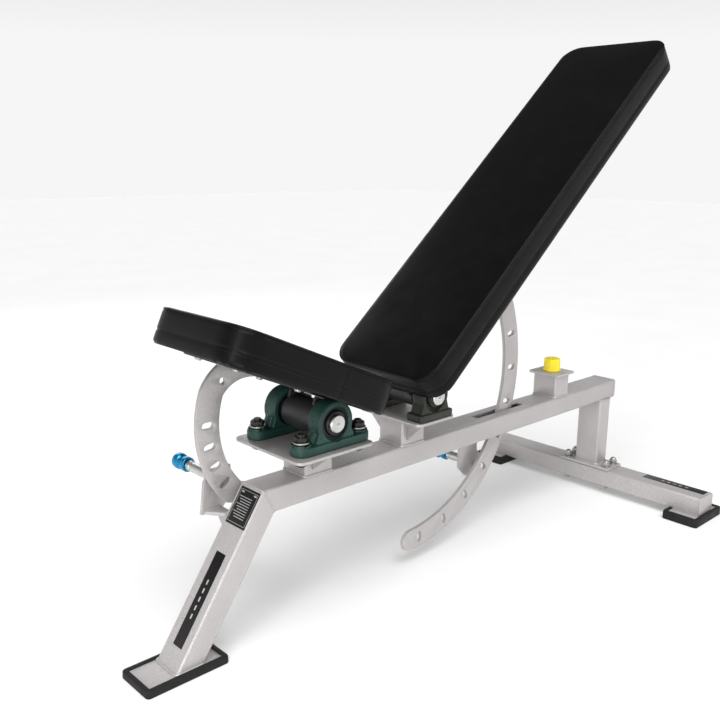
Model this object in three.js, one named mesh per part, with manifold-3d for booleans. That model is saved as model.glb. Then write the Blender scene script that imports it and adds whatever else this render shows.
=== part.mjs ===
// Adjustable weight bench: a level box-tube frame, a tilting seat and a tilting backrest.
// Millimetres, +Z up. The foot end is at -X, the head end at +X. Left (-Y) and right (+Y) are
// those of someone sitting on the bench and facing the foot end.
// The rest pose is seat and backrest raised, with both pull-pins drawn just clear of their arcs.
import * as THREE from 'three';
import { mergeVertices } from 'three/addons/utils/BufferGeometryUtils.js';
import Module from 'manifold-3d';

const wasm = await Module();
wasm.setup();

// ---------------------------------------------------------------- driving dimensions
const GAP = 0.3; // clearance between touching pieces

// Box tubes of the frame.
const tubeWidth = 60;
const tubeDepth = 42;
const tubeWall = 3;
const tubeCorner = 5;
const spineTop = 262;
const spineRear = 1262;
const legAngle = THREE.MathUtils.degToRad(56.2);
const legFootX = 54.5; // where the leg's front face meets the foot plate
const crossbarX = 1226; // centre line of the crossbar
const crossbarHalfLength = 292;
const crossbarHeight = 40;
const rearPostDepth = 42;
const basePlateHalfLength = 66;
const plateThickness = 5;

// Feet: a steel plate caught in a rubber boot.
const footWidth = 80;
const frontFootLength = 145;
const rearFootLength = 120;
const frontBootHeight = 13;
const rearBootHeight = 19;
const bootRim = 9;
const bootLip = 2.5;
const bootCorner = 7;
const rearFootY = 262;

// Tilting parts: both pivots are at one height.
const pivotZ = 359;
const seatPivotX = 338;
const backPivotX = 576;
const seatRestTilt = THREE.MathUtils.degToRad(24);
const backRestTilt = THREE.MathUtils.degToRad(40.5);
const shaftRadius = 15;

// Pillow blocks.
const blockCentreHeight = 43;
const blockY = 57;
const blockWidth = 38;
const seatBlockLength = 156;
const seatArchRadius = 37;
const backBlockLength = 84;
const backArchRadius = 33;
const bearingRadius = 27;
const innerRingRadius = 20;
const pivotPlateTop = pivotZ - blockCentreHeight;

// Adjusting arcs and their pull-pins.
const arcThickness = 8;
const slotLength = 22;
const slotWidth = 11;
const seatArcRadius = 170;
const seatArcWidth = 42;
const seatArcY = 40;
const seatStep = THREE.MathUtils.degToRad(12);
const seatPinAngle = THREE.MathUtils.degToRad(214); // from +X about the seat pivot
const backArcRadius = 308.5;
const backArcWidth = 43;
const backStep = THREE.MathUtils.degToRad(13.5);
const backPinAngle = THREE.MathUtils.degToRad(-42.2); // from +X about the back pivot
const pinTravel = 12;
const pinRadius = 4.8;
const barrelRadius = 9;
const bracketThickness = 6;

// Upholstery, in each tilting part's own level frame, heights measured from its pivot.
const padWidth = 246;
const padThickness = 54;
const boardThickness = 12;
const seatMountThickness = 6;
const seatPadBottom = 38.2;
const seatPadFront = -268;
const seatPadRear = 74;
const seatPadCorner = 50;
const backPadBottom = 34.5;
const backPadLower = -28;
const backPadUpper = 907;
const backPadCorner = 40;

// Stop for the level backrest.
const stopX = 1038;
const stopPostDepth = 50;
const stopPlateTop = pivotPlateTop;
const railBottom = -14.5;
const railWidth = 40;

// ---------------------------------------------------------------- finishes
const finish = (color, roughness, metalness) =>
  new THREE.MeshStandardMaterial({ color, roughness, metalness });
const paint = () => finish('#b9b6b6', 0.42, 0.6);
const blackPaint = () => finish('#151517', 0.5, 0.3);
const greenCasting = () => finish('#123a30', 0.55, 0.2);
const oliveCasting = () => finish('#2e3526', 0.6, 0.2);
const steel = () => finish('#c9c9c6', 0.28, 1);
const rubber = () => finish('#141414', 0.85, 0);
const leather = () => finish('#131314', 0.45, 0);
const plywood = () => finish('#8a6a45', 0.8, 0);
const blueAnodised = () => finish('#0b6fae', 0.3, 0.7);
const yellowRubber = () => finish('#f2d800', 0.6, 0);

// ---------------------------------------------------------------- solids
const alongX = new THREE.Matrix4().makeBasis(
  new THREE.Vector3(0, 1, 0),
  new THREE.Vector3(0, 0, 1),
  new THREE.Vector3(1, 0, 0),
);

function toSolid(geometry) {
  const bare = geometry.clone();
  bare.deleteAttribute('normal');
  bare.deleteAttribute('uv');
  const merged = mergeVertices(bare, 1e-4);
  return new wasm.Manifold(
    new wasm.Mesh({
      numProp: 3,
      vertProperties: Float32Array.from(merged.attributes.position.array),
      triVerts: Uint32Array.from(merged.index.array),
    }),
  );
}

function toGeometry(solid) {
  const { vertProperties, triVerts } = solid.getMesh();
  const geometry = new THREE.BufferGeometry();
  geometry.setAttribute('position', new THREE.BufferAttribute(vertProperties, 3));
  geometry.setIndex(new THREE.BufferAttribute(triVerts, 1));
  geometry.computeVertexNormals();
  return geometry;
}

function join(first, ...others) {
  return toGeometry(others.reduce((sum, g) => sum.add(toSolid(g)), toSolid(first)));
}

function cut(base, ...tools) {
  return toGeometry(tools.reduce((rest, g) => rest.subtract(toSolid(g)), toSolid(base)));
}

function box(x0, x1, y0, y1, z0, z1) {
  const geometry = new THREE.BoxGeometry(x1 - x0, y1 - y0, z1 - z0);
  return geometry.translate((x0 + x1) / 2, (y0 + y1) / 2, (z0 + z1) / 2);
}

function roundedRect(width, height, radius, cx = 0, cy = 0) {
  const [w, h] = [width / 2 - radius, height / 2 - radius];
  const shape = new THREE.Shape();
  shape.absarc(cx + w, cy + h, radius, 0, Math.PI / 2);
  shape.absarc(cx - w, cy + h, radius, Math.PI / 2, Math.PI);
  shape.absarc(cx - w, cy - h, radius, Math.PI, 1.5 * Math.PI);
  shape.absarc(cx + w, cy - h, radius, 1.5 * Math.PI, 2 * Math.PI);
  shape.closePath();
  return shape;
}

function extrude(shape, depth, curveSegments = 1) {
  return new THREE.ExtrudeGeometry(shape, { depth, bevelEnabled: false, curveSegments });
}

/** A shape in the XY plane, from height z0 up to z1. */
function slabZ(shape, z0, z1, curveSegments) {
  return extrude(shape, z1 - z0, curveSegments).translate(0, 0, z0);
}

/** A shape whose own axes are X and Z, from y0 to y1. */
function slabY(shape, y0, y1, curveSegments) {
  return extrude(shape, y1 - y0, curveSegments).rotateX(Math.PI / 2).translate(0, y1, 0);
}

/** A shape whose own axes are Y and Z, from x0 to x1. */
function slabX(shape, x0, x1, curveSegments) {
  return extrude(shape, x1 - x0, curveSegments).applyMatrix4(alongX).translate(x0, 0, 0);
}

function tubeShape(width, height, wall = tubeWall, corner = tubeCorner) {
  const shape = roundedRect(width, height, corner);
  shape.holes.push(roundedRect(width - 2 * wall, height - 2 * wall, corner - wall));
  return shape;
}

/** A round bar or ring about an axis parallel to Y. */
function roundY(x, z, outer, y0, y1, inner = 0, segments = 14) {
  const shape = new THREE.Shape().absarc(x, z, outer, 0, 2 * Math.PI);
  if (inner > 0) {
    shape.holes.push(new THREE.Path().absarc(x, z, inner, 0, 2 * Math.PI));
  }
  return slabY(shape, y0, y1, segments);
}

function roundZ(x, y, radius, z0, z1, segments = 16) {
  return new THREE.CylinderGeometry(radius, radius, z1 - z0, segments)
    .rotateX(Math.PI / 2)
    .translate(x, y, (z0 + z1) / 2);
}

function hexZ(x, y, acrossFlats, z0, z1) {
  return roundZ(x, y, acrossFlats / Math.sqrt(3), z0, z1, 6);
}

function polygon(points) {
  return new THREE.Shape(points.map(([x, y]) => new THREE.Vector2(x, y)));
}

function named(name, geometry, material) {
  const mesh = new THREE.Mesh(geometry, material);
  mesh.name = name;
  return mesh;
}

const sides = [
  { side: 'left', sign: -1 },
  { side: 'right', sign: 1 },
];

// ---------------------------------------------------------------- feet
/** A foot plate and its boot. The boot's lip holds the plate down all round. */
function foot(name, x0, length, y, height) {
  const x = x0 + length / 2;
  const plateTop = height - bootLip;
  const pocketBottom = plateTop - plateThickness - GAP;
  const [pocketLength, pocketWidth] = [length - 8, footWidth - 8];
  const mouth = roundedRect(length - 2 * bootRim, footWidth - 2 * bootRim, 2, x, y);
  const boot = cut(
    slabZ(roundedRect(length, footWidth, bootCorner, x, y), 0, height),
    slabZ(roundedRect(pocketLength, pocketWidth, 3, x, y), pocketBottom, plateTop),
    slabZ(mouth, pocketBottom + 1, height + 1),
  );
  const plate = slabZ(
    roundedRect(pocketLength - 2 * GAP, pocketWidth - 2 * GAP, 3, x, y),
    pocketBottom + GAP,
    plateTop - GAP,
  );
  return [named(`${name}_boot`, boot, rubber()), named(`${name}_plate`, plate, paint())];
}

const frontPlateTop = frontBootHeight - bootLip - GAP;
const crossbarBottom = rearBootHeight - bootLip;
const crossbarTop = crossbarBottom + crossbarHeight;
const basePlateTop = crossbarTop + GAP + plateThickness;

/** Each rear boot's inner lip is notched where the crossbar comes in to stand on the plate. */
function rearFoot({ side, sign }) {
  const footX0 = crossbarX - rearFootLength / 2;
  const [boot, plate] = foot(`rear_foot_${side}`, footX0, rearFootLength, sign * rearFootY, rearBootHeight);
  const [x0, x1] = [crossbarX - tubeWidth / 2 - GAP, crossbarX + tubeWidth / 2 + GAP];
  const reach = crossbarHalfLength + GAP;
  const notch = box(x0, x1, -reach, reach, crossbarBottom - GAP, rearBootHeight + 1);
  boot.geometry = cut(boot.geometry, notch);
  return [boot, plate];
}

function feet() {
  return [...foot('front_foot', 0, frontFootLength, 0, frontBootHeight), ...sides.flatMap(rearFoot)];
}

// ---------------------------------------------------------------- spine, leg and rear
const legRun = (spineTop - frontPlateTop) / Math.tan(legAngle);
const mitreX = legFootX + legRun; // the upper corner between leg and spine
const arcSlot = { x0: 774, x1: 926, halfWidth: 9 };

/** A large block that covers everything on one side of the mitre between leg and spine. */
function mitreTool(coversSpine) {
  const size = 500;
  const offset = (coversSpine ? 1 : -1) * (size / 2 - GAP / 2);
  const lean = Math.PI / 2 - (Math.PI - legAngle) / 2;
  return new THREE.BoxGeometry(size, size, size)
    .translate(offset, 0, 0)
    .rotateY(-lean)
    .translate(mitreX, 0, spineTop);
}

function spine() {
  const centreZ = spineTop - tubeDepth / 2;
  const rearEnd = spineRear - plateThickness + 1;
  const tube = slabX(tubeShape(tubeWidth, tubeDepth), mitreX - 10, rearEnd).translate(0, 0, centreZ);
  const { x0, x1, halfWidth } = arcSlot;
  const slot = box(x0, x1, -halfWidth, halfWidth, spineTop - 2 * tubeDepth, spineTop + 10);
  const cap = slabX(roundedRect(tubeWidth, tubeDepth, tubeCorner), rearEnd + GAP, spineRear);
  return [
    named('spine_tube', cut(tube, mitreTool(false), slot), paint()),
    named('spine_end_cap', cap.translate(0, 0, centreZ), paint()),
  ];
}

function frontLeg() {
  const length = legRun / Math.cos(legAngle);
  const tube = slabX(tubeShape(tubeWidth, tubeDepth), -60, length + 60)
    .translate(0, 0, -tubeDepth / 2)
    .rotateY(-legAngle)
    .translate(legFootX, 0, frontPlateTop);
  const floor = box(-400, 400, -200, 200, -300, frontPlateTop + GAP);
  return [named('front_leg', cut(tube, mitreTool(true), floor), paint())];
}

function crossbar() {
  const half = crossbarHalfLength - plateThickness;
  const centreZ = (crossbarBottom + crossbarTop) / 2;
  const tube = extrude(tubeShape(tubeWidth, crossbarHeight), 2 * half - 2 * GAP)
    .rotateX(Math.PI / 2)
    .translate(crossbarX, half - GAP, centreZ);
  const end = roundedRect(tubeWidth, crossbarHeight, tubeCorner, crossbarX, centreZ);
  const caps = sides.map(({ side, sign }) => {
    const [y0, y1] = [sign * half, sign * crossbarHalfLength].sort((a, b) => a - b);
    return named(`crossbar_end_cap_${side}`, slabY(end, y0, y1), paint());
  });
  return [named('crossbar', cut(tube, ...boltHoles()), paint()), ...caps];
}

const baseBoltSpacing = { x: 15.5, y: 52 };
const baseBoltRadius = 5;
const baseBolts = [-1, 1].flatMap((i) =>
  [-1, 1].map((j) => [crossbarX + i * baseBoltSpacing.x, j * baseBoltSpacing.y]),
);

function boltHoles() {
  const [z0, z1] = [crossbarBottom - 5, basePlateTop + 5];
  return baseBolts.map(([x, y]) => roundZ(x, y, baseBoltRadius + 0.5, z0, z1));
}

function rearPost() {
  const postBottom = basePlateTop + GAP;
  const postTop = spineTop - tubeDepth - GAP;
  const shape = tubeShape(rearPostDepth, tubeWidth);
  const post = slabZ(shape, postBottom, postTop).translate(crossbarX, 0, 0);
  const outline = roundedRect(tubeWidth, 2 * basePlateHalfLength, 3, crossbarX, 0);
  const plate = slabZ(outline, crossbarTop + GAP, basePlateTop);
  return [named('rear_post', post, paint()), named('rear_base_plate', cut(plate, ...boltHoles()), paint())];
}

/** Bolt head below the crossbar, and washer and domed nut on the base plate, on one shank. */
function baseBolt([x, y], index) {
  const washerTop = basePlateTop + GAP + 2;
  const nutTop = washerTop + 8;
  const dome = new THREE.SphereGeometry(7.6, 12, 6).translate(x, y, nutTop);
  const bolt = join(
    roundZ(x, y, baseBoltRadius, crossbarBottom - 8, nutTop),
    hexZ(x, y, 16, crossbarBottom - GAP - 7, crossbarBottom - GAP),
    roundZ(x, y, 11, basePlateTop + GAP, washerTop),
    hexZ(x, y, 17, washerTop - 0.5, nutTop),
    dome,
  );
  return named(`base_bolt_${index + 1}`, bolt, steel());
}

// ---------------------------------------------------------------- pivot towers
const weld = 0.5; // how far welded pieces run into each other
const seatPost = { x0: 308, depth: 60 };
const backPost = { x0: 534, depth: 60 };
const seatPlate = { x0: 250, x1: 410, halfWidth: 88, gussetX: 322 };
const backPlate = { x0: 526, x1: 624, halfWidth: 78, gussetX: 546 };

function post(name, { x0, depth }) {
  const shape = tubeShape(depth, tubeWidth);
  const z1 = pivotPlateTop - plateThickness - GAP;
  return named(name, slabZ(shape, spineTop + GAP, z1).translate(x0 + depth / 2, 0, 0), paint());
}

/** A pivot plate with a triangular gusset under each overhang, welded into one piece. */
function pivotPlate(name, { x0, x1, halfWidth, gussetX }, holes) {
  const under = pivotPlateTop - plateThickness;
  const outline = roundedRect(x1 - x0, 2 * halfWidth, 12, (x0 + x1) / 2, 0);
  const plate = slabZ(outline, under, pivotPlateTop);
  const inner = tubeWidth / 2 + GAP;
  const gussets = sides.map(({ sign }) => {
    const [root, toe, bottom] = [sign * inner, sign * (halfWidth - 6), under - 38];
    const triangle = polygon([[root, bottom], [toe, under + weld], [root, under + weld]]);
    return slabX(triangle, gussetX, gussetX + plateThickness);
  });
  const joined = join(plate, ...gussets);
  return named(name, holes.length > 0 ? cut(joined, ...holes) : joined, paint());
}

const blockBoltX = 60.5;
const blockBoltRadius = 6.8;
const blockBolts = [-1, 1].flatMap((i) =>
  sides.map(({ sign }) => [seatPivotX + i * blockBoltX, sign * blockY]),
);

function blockBoltHoles() {
  const [z0, z1] = [pivotPlateTop - 3 * plateThickness, pivotPlateTop + plateThickness];
  return blockBolts.map(([x, y]) => roundZ(x, y, blockBoltRadius + 0.5, z0, z1));
}

/** Hexagon bolt, washer and nut that hold a seat block's foot to its plate. */
function blockBolt([x, y], index) {
  const footTop = pivotPlateTop + GAP + 20;
  const under = pivotPlateTop - plateThickness - GAP;
  const bolt = join(
    roundZ(x, y, blockBoltRadius, under - 14, footTop + 4),
    roundZ(x, y, 14, footTop + GAP, footTop + 2.8),
    hexZ(x, y, 21, footTop + 2.5, footTop + 11),
    hexZ(x, y, 21, under - 11, under),
  );
  return named(`seat_block_bolt_${index + 1}`, bolt, blackPaint());
}

/** The arch of a pillow block: a round head on legs that spread to the foot. */
function archShape(radius, footHalf) {
  const lean = Math.PI / 9;
  const shape = new THREE.Shape();
  shape.moveTo(-footHalf, -blockCentreHeight + GAP);
  shape.lineTo(footHalf, -blockCentreHeight + GAP);
  shape.lineTo(footHalf, -blockCentreHeight + 10);
  shape.absarc(0, 0, radius, -lean, Math.PI + lean);
  shape.lineTo(-footHalf, -blockCentreHeight + 10);
  shape.closePath();
  return shape;
}

function seatBlock({ side, sign }) {
  const y = sign * blockY;
  const [z0, z1] = [-blockCentreHeight + GAP, -blockCentreHeight + GAP + 15];
  const half = blockWidth / 2;
  const footOutline = roundedRect(seatBlockLength, blockWidth, half - 0.5, 0, y);
  const bosses = [-1, 1].map((i) => roundZ(i * blockBoltX, y, 16, z1 - 1, -blockCentreHeight + 20));
  const bores = [-1, 1].map((i) => roundZ(i * blockBoltX, y, blockBoltRadius + 0.5, z0 - 5, z1 + 15));
  const casting = join(
    slabZ(footOutline, z0, z1, 3),
    slabY(archShape(seatArchRadius, 44), y - 15, y + 15, 10),
    ...bosses,
  );
  const block = cut(casting, roundY(0, 0, bearingRadius + GAP, y - half, y + half), ...bores);
  return named(`seat_block_${side}`, block, greenCasting());
}

function backBlock({ side, sign }) {
  const y = sign * blockY;
  const [z0, z1] = [-blockCentreHeight + GAP, -blockCentreHeight + 14];
  const half = blockWidth / 2;
  const casting = join(
    slabZ(roundedRect(backBlockLength, blockWidth, 4, 0, y), z0, z1),
    slabY(archShape(backArchRadius, 38), y - 15, y + 15, 10),
  );
  const block = cut(casting, roundY(0, 0, bearingRadius + GAP, y - half, y + half));
  return named(`back_block_${side}`, block, oliveCasting());
}

function bearing(name, y) {
  const ring = roundY(0, 0, bearingRadius, y - 11, y + 11, innerRingRadius + GAP);
  return named(name, ring, blackPaint());
}

function pivotTower(name, x, blocks) {
  const tower = new THREE.Group();
  tower.position.set(x, 0, pivotZ);
  const bearings = sides.map(({ side, sign }) => bearing(`${name}_bearing_${side}`, sign * blockY));
  tower.add(...blocks, ...bearings);
  return tower;
}

/** A pivot shaft with the bearings' inner rings locked on it. */
function shaft(name, halfLength) {
  const rings = sides.map(({ sign }) => {
    const y = sign * blockY;
    return roundY(0, 0, innerRingRadius, y - 15, y + 15);
  });
  return named(name, join(roundY(0, 0, shaftRadius, -halfLength, halfLength), ...rings), steel());
}

// ---------------------------------------------------------------- stop
/** A short post with a plate welded on top, and the rubber bumper that the level back rests on. */
function stop() {
  const plateUnder = stopPlateTop - plateThickness;
  const shape = tubeShape(stopPostDepth, tubeWidth);
  const tube = slabZ(shape, spineTop + GAP, plateUnder + weld).translate(stopX, 0, 0);
  const plate = slabZ(roundedRect(66, 74, 3, stopX, 0), plateUnder, stopPlateTop);
  const bumperTop = pivotZ + railBottom - GAP;
  const bumper = roundZ(stopX, 0, 19, stopPlateTop + GAP, bumperTop, 24);
  return [
    named('stop_post', join(tube, plate), paint()),
    named('stop_bumper', bumper, yellowRubber()),
  ];
}

// ---------------------------------------------------------------- arcs
/** A radial slot through an arc, at an angle about the pivot. */
function arcSlotTool(radius, angle, y) {
  const shape = roundedRect(slotLength, slotWidth, slotWidth / 2 - 0.01, radius, 0);
  return slabY(shape, y - arcThickness, y + arcThickness, 2).rotateY(-angle);
}

/** A band about the pivot between two angles, ending round at its far end. */
function bandShape(radius, width, start, end) {
  const [inner, outer] = [radius - width / 2, radius + width / 2];
  const turn = Math.sign(end - start);
  const tip = [radius * Math.cos(end), radius * Math.sin(end)];
  const shape = new THREE.Shape();
  shape.absarc(0, 0, outer, start, end, turn < 0);
  shape.absarc(tip[0], tip[1], width / 2, end, end + turn * Math.PI, turn < 0);
  shape.absarc(0, 0, inner, end, start, turn > 0);
  shape.closePath();
  return shape;
}

/** The seat arc's upper end, which flares towards the pivot below the seat's mount plate. */
function seatArcRoot(top) {
  const [inner, outer] = [seatArcRadius - seatArcWidth / 2, seatArcRadius + seatArcWidth / 2];
  const bottom = -14;
  const shape = new THREE.Shape();
  shape.moveTo(-outer + 1, bottom);
  shape.quadraticCurveTo(-outer + 2, top / 3, -outer + 17, top);
  shape.lineTo(-inner + 48, top);
  shape.quadraticCurveTo(-inner + 10, top * 0.7, -inner - 1, bottom);
  shape.closePath();
  return shape;
}

function seatArc() {
  const [y0, y1] = [seatArcY - arcThickness / 2, seatArcY + arcThickness / 2];
  const top = seatPadBottom - seatMountThickness - 2 * GAP;
  const level = seatPinAngle;
  const positions = [-1, 0, 1, 2];
  const end = level + 2 * seatStep + THREE.MathUtils.degToRad(7);
  const band = slabY(bandShape(seatArcRadius, seatArcWidth, Math.PI + 0.05, end), y0, y1, 12);
  const root = slabY(seatArcRoot(top), y0, y1, 6);
  const slots = positions.map((k) => arcSlotTool(seatArcRadius, level + k * seatStep, seatArcY));
  const hole = roundY(-seatArcRadius + 12, 10, 5.5, y0 - 5, y1 + 5, 0, 8);
  return named('seat_arc', cut(join(band, root), hole, ...slots), paint());
}

function backArc() {
  const half = arcThickness / 2;
  const positions = [-1, 0, 1, 2, 3, 4, 5, 6];
  const end = backPinAngle - 6 * backStep - THREE.MathUtils.degToRad(4.5);
  const band = slabY(bandShape(backArcRadius, backArcWidth, 0.05, end), -half, half, 18);
  const above = box(0, 500, -100, 100, railBottom - GAP, 200);
  const slots = positions.map((k) => arcSlotTool(backArcRadius, backPinAngle - k * backStep, 0));
  return named('back_arc', cut(band, above, ...slots), paint());
}

// ---------------------------------------------------------------- upholstery
/** A pad with a rebate in its underside, and the plywood board that fills the rebate. */
function upholstery(name, x0, x1, bottom, corner) {
  const [x, length] = [(x0 + x1) / 2, x1 - x0];
  const edge = 8; // radius of the cushion's edges
  const margin = 10; // from the cushion's side to the board
  const rim = 5; // how far the cushion's rim hangs below the board
  const outline = roundedRect(length - 2 * edge, padWidth - 2 * edge, corner - edge, x, 0);
  const [rebateLength, rebateWidth] = [length - 2 * margin, padWidth - 2 * margin];
  const rebate = roundedRect(rebateLength, rebateWidth, corner - margin, x, 0);
  const board = roundedRect(rebateLength - 2 * GAP, rebateWidth - 2 * GAP, corner - margin, x, 0);
  const cushion = new THREE.ExtrudeGeometry(outline, {
    depth: padThickness + rim - 2 * edge,
    bevelSize: edge,
    bevelThickness: edge,
    bevelSegments: 2,
    curveSegments: 4,
  });
  const underside = slabZ(rebate, bottom - rim - 1, bottom + boardThickness + GAP, 4);
  return [
    named(`${name}_pad`, cut(cushion.translate(0, 0, bottom - rim + edge), underside), leather()),
    named(`${name}_board`, slabZ(board, bottom, bottom + boardThickness, 4), plywood()),
  ];
}

/** A sleeve on the shaft, with two cheeks that carry the part above it. */
function sleeve(name, radius, cheekTop, cheekHalf) {
  const halfLength = 35;
  const cheeks = sides.map(({ sign }) => {
    const [y0, y1] = [sign * (halfLength - 6), sign * halfLength].sort((a, b) => a - b);
    return box(-cheekHalf, cheekHalf, y0, y1, 5, cheekTop);
  });
  const body = join(roundY(0, 0, radius, -halfLength, halfLength), ...cheeks);
  const bore = roundY(0, 0, shaftRadius + GAP, -halfLength - 5, halfLength + 5);
  return named(name, cut(body, bore), blackPaint());
}

function seat() {
  const mountTop = seatPadBottom - GAP;
  const mountUnder = mountTop - seatMountThickness;
  const [neck, wing] = [34, 62]; // half widths, between the blocks and in front of them
  const half = [[50, neck], [-62, neck], [-62, wing], [-225, wing]];
  const outline = polygon([...half, ...half.map(([x, y]) => [x, -y]).reverse()]);
  const group = new THREE.Group();
  group.position.set(seatPivotX, 0, pivotZ);
  group.rotation.y = seatRestTilt;
  group.add(
    shaft('seat_shaft', 77),
    sleeve('seat_sleeve', 28, mountUnder - GAP, 24),
    named('seat_mount_plate', slabZ(outline, mountUnder, mountTop), blackPaint()),
    seatArc(),
    ...upholstery('seat', seatPadFront, seatPadRear, seatPadBottom, seatPadCorner),
  );
  return group;
}

function back() {
  const mountTop = backPadBottom - GAP;
  const mountUnder = mountTop - plateThickness;
  const railTop = mountUnder - GAP;
  const railCentre = (railTop + railBottom) / 2;
  const tube = slabX(tubeShape(railWidth, railTop - railBottom), 32, 780).translate(0, 0, railCentre);
  const mounts = [
    ['back_mount_plate_lower', 110],
    ['back_mount_plate_upper', 690],
  ];
  const group = new THREE.Group();
  group.position.set(backPivotX, 0, pivotZ);
  group.rotation.y = -backRestTilt;
  group.add(
    shaft('back_shaft', 80),
    sleeve('back_sleeve', 27, railTop - 2, 22),
    named('back_rail', tube, blackPaint()),
    ...mounts.map(([name, x]) => {
      const plate = slabZ(roundedRect(80, 170, 8, x, 0), mountUnder, mountTop);
      return named(name, plate, blackPaint());
    }),
    backArc(),
    ...upholstery('back', backPadLower, backPadUpper, backPadBottom, backPadCorner),
  );
  return group;
}

// ---------------------------------------------------------------- pull-pins
/** Where a pin's axis crosses the XZ plane. */
function pinAxis(pivotX, radius, angle) {
  return { x: pivotX + radius * Math.cos(angle), z: pivotZ + radius * Math.sin(angle) };
}

const seatPin = {
  ...pinAxis(seatPivotX, seatArcRadius, seatPinAngle),
  arcFace: seatArcY + arcThickness / 2,
  bracketY: 60,
  barrelEnd: 144,
};
const backPin = {
  ...pinAxis(backPivotX, backArcRadius, backPinAngle),
  arcFace: arcThickness / 2,
  bracketY: 20,
  barrelEnd: 92,
};

function pinHole({ x, z, bracketY }) {
  return roundY(x, z, pinRadius + 0.4, bracketY - 5, bracketY + bracketThickness + 5, 0, 8);
}

/** Outer plate, bottom shelf and gusset welded to the leg's right side; the arc passes between. */
function seatPinBracket() {
  const { bracketY } = seatPin;
  const outerY = bracketY + bracketThickness;
  const inner = tubeWidth / 2 + GAP;
  const [front, rear, shelfTop, faceTop] = [166, 204, 215, 282];
  const shelfUnder = shelfTop - bracketThickness;
  const legFront = legFootX + (shelfTop - frontPlateTop) / Math.tan(legAngle);
  const face = polygon([
    [front, shelfUnder],
    [rear, shelfUnder],
    [rear + 20, shelfTop + 17],
    [rear + 20, faceTop],
    [front + 18, faceTop],
    [front + 6, faceTop - 20],
  ]);
  const shelf = polygon([[front, outerY], [rear, outerY], [rear, inner], [legFront, inner]]);
  const gusset = polygon([[inner, shelfUnder - 38], [outerY - 4, shelfTop - 5], [inner, shelfTop - 5]]);
  const body = join(
    slabY(face, bracketY, outerY),
    slabZ(shelf, shelfUnder, shelfTop),
    slabX(gusset, legFront + 2, legFront + 2 + plateThickness),
  );
  return named('seat_pin_bracket', cut(body, pinHole(seatPin), legClearance()), paint());
}

/** The space the leg fills, a little larger than the leg. */
function legClearance() {
  return box(-400, 400, -tubeWidth / 2 - GAP, tubeWidth / 2 + GAP, 0, 300);
}

/** A plate that hangs from the spine and narrows to let the arc be seen past its rear edge. */
function backPinBracket() {
  const { x, z, bracketY } = backPin;
  const top = spineTop - tubeDepth - GAP;
  const bottom = z - 22;
  const face = polygon([
    [x - 48, top],
    [x - 48, bottom + 22],
    [x - 26, bottom],
    [x + 12, bottom],
    [x + 22, bottom + 12],
    [x + 22, z + 14],
    [x + 7, z + 28],
    [x + 7, top],
  ]);
  const plate = slabY(face, bracketY, bracketY + bracketThickness);
  return named('back_pin_bracket', cut(plate, pinHole(backPin)), paint());
}

const endWall = 5;
const chamberRadius = 6.9;
const collarRadius = 6.4;
const collarWidth = 2.5;
const springLength = 20;
const springWire = 0.7;

/** The collar's inner face when the pin is drawn back, with the spring squeezed behind it. */
function collarY({ barrelEnd }) {
  return barrelEnd - endWall - springLength - collarWidth - 2 * GAP;
}

function barrel(name, pin) {
  const start = pin.bracketY + bracketThickness + GAP;
  const body = cut(
    roundY(pin.x, pin.z, barrelRadius, start, pin.barrelEnd),
    roundY(pin.x, pin.z, chamberRadius, start - 1, pin.barrelEnd - endWall, 0, 8),
    roundY(pin.x, pin.z, 4.4, start, pin.barrelEnd + 1, 0, 8),
  );
  return named(`${name}_barrel`, body, steel());
}

/** Tip, collar and stem turned in one piece. */
function plunger(name, pin) {
  const collar = collarY(pin);
  const body = join(
    roundY(pin.x, pin.z, pinRadius, pin.arcFace + 0.8, collar + 1, 0, 8),
    roundY(pin.x, pin.z, collarRadius, collar, collar + collarWidth, 0, 8),
    roundY(pin.x, pin.z, 4, collar + 1, pin.barrelEnd + 24, 0, 8),
  );
  return named(`${name}_plunger`, body, steel());
}

class Coil extends THREE.Curve {
  constructor(radius, length, turns) {
    super();
    Object.assign(this, { radius, length, turns });
  }

  getPoint(t, target = new THREE.Vector3()) {
    const angle = 2 * Math.PI * this.turns * t;
    return target.set(this.radius * Math.cos(angle), this.length * t, this.radius * Math.sin(angle));
  }
}

function spring(name, pin) {
  const turns = 5;
  const radius = (chamberRadius + 4) / 2;
  const wire = new THREE.Shape().absarc(0, 0, springWire, 0, 2 * Math.PI);
  const path = new Coil(radius, springLength - 2 * springWire, turns);
  const coil = new THREE.ExtrudeGeometry(wire, { steps: turns * 10, curveSegments: 3, extrudePath: path });
  const start = collarY(pin) + collarWidth + GAP + springWire;
  return named(`${name}_spring`, coil.translate(pin.x, start, pin.z), steel());
}

/** A turned spool whose skirt slides over the barrel's end as the pin goes home. */
function knob(name, pin) {
  const stem = 4 + GAP;
  const skirt = barrelRadius + 0.5;
  const profile = [
    [stem, pinTravel + 3],
    [skirt, pinTravel + 3],
    [skirt, 0],
    [12, 0],
    [12.8, 1.5],
    [12.8, 9],
    [12, 10.5],
    [10.4, 12],
    [10.4, 18],
    [13.2, 21],
    [13.8, 24],
    [13.8, 30],
    [12.4, 34],
    [9, 36.5],
    [0.01, 37],
    [0.01, 25],
    [stem, 25],
    [stem, pinTravel + 3],
  ].map(([r, h]) => new THREE.Vector2(r, h));
  const body = new THREE.LatheGeometry(profile, 20).translate(pin.x, pin.barrelEnd + 1, pin.z);
  return named(`${name}_knob`, body, blueAnodised());
}

function pullPin(name, pin) {
  return [barrel(name, pin), plunger(name, pin), spring(name, pin), knob(name, pin)];
}

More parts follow.
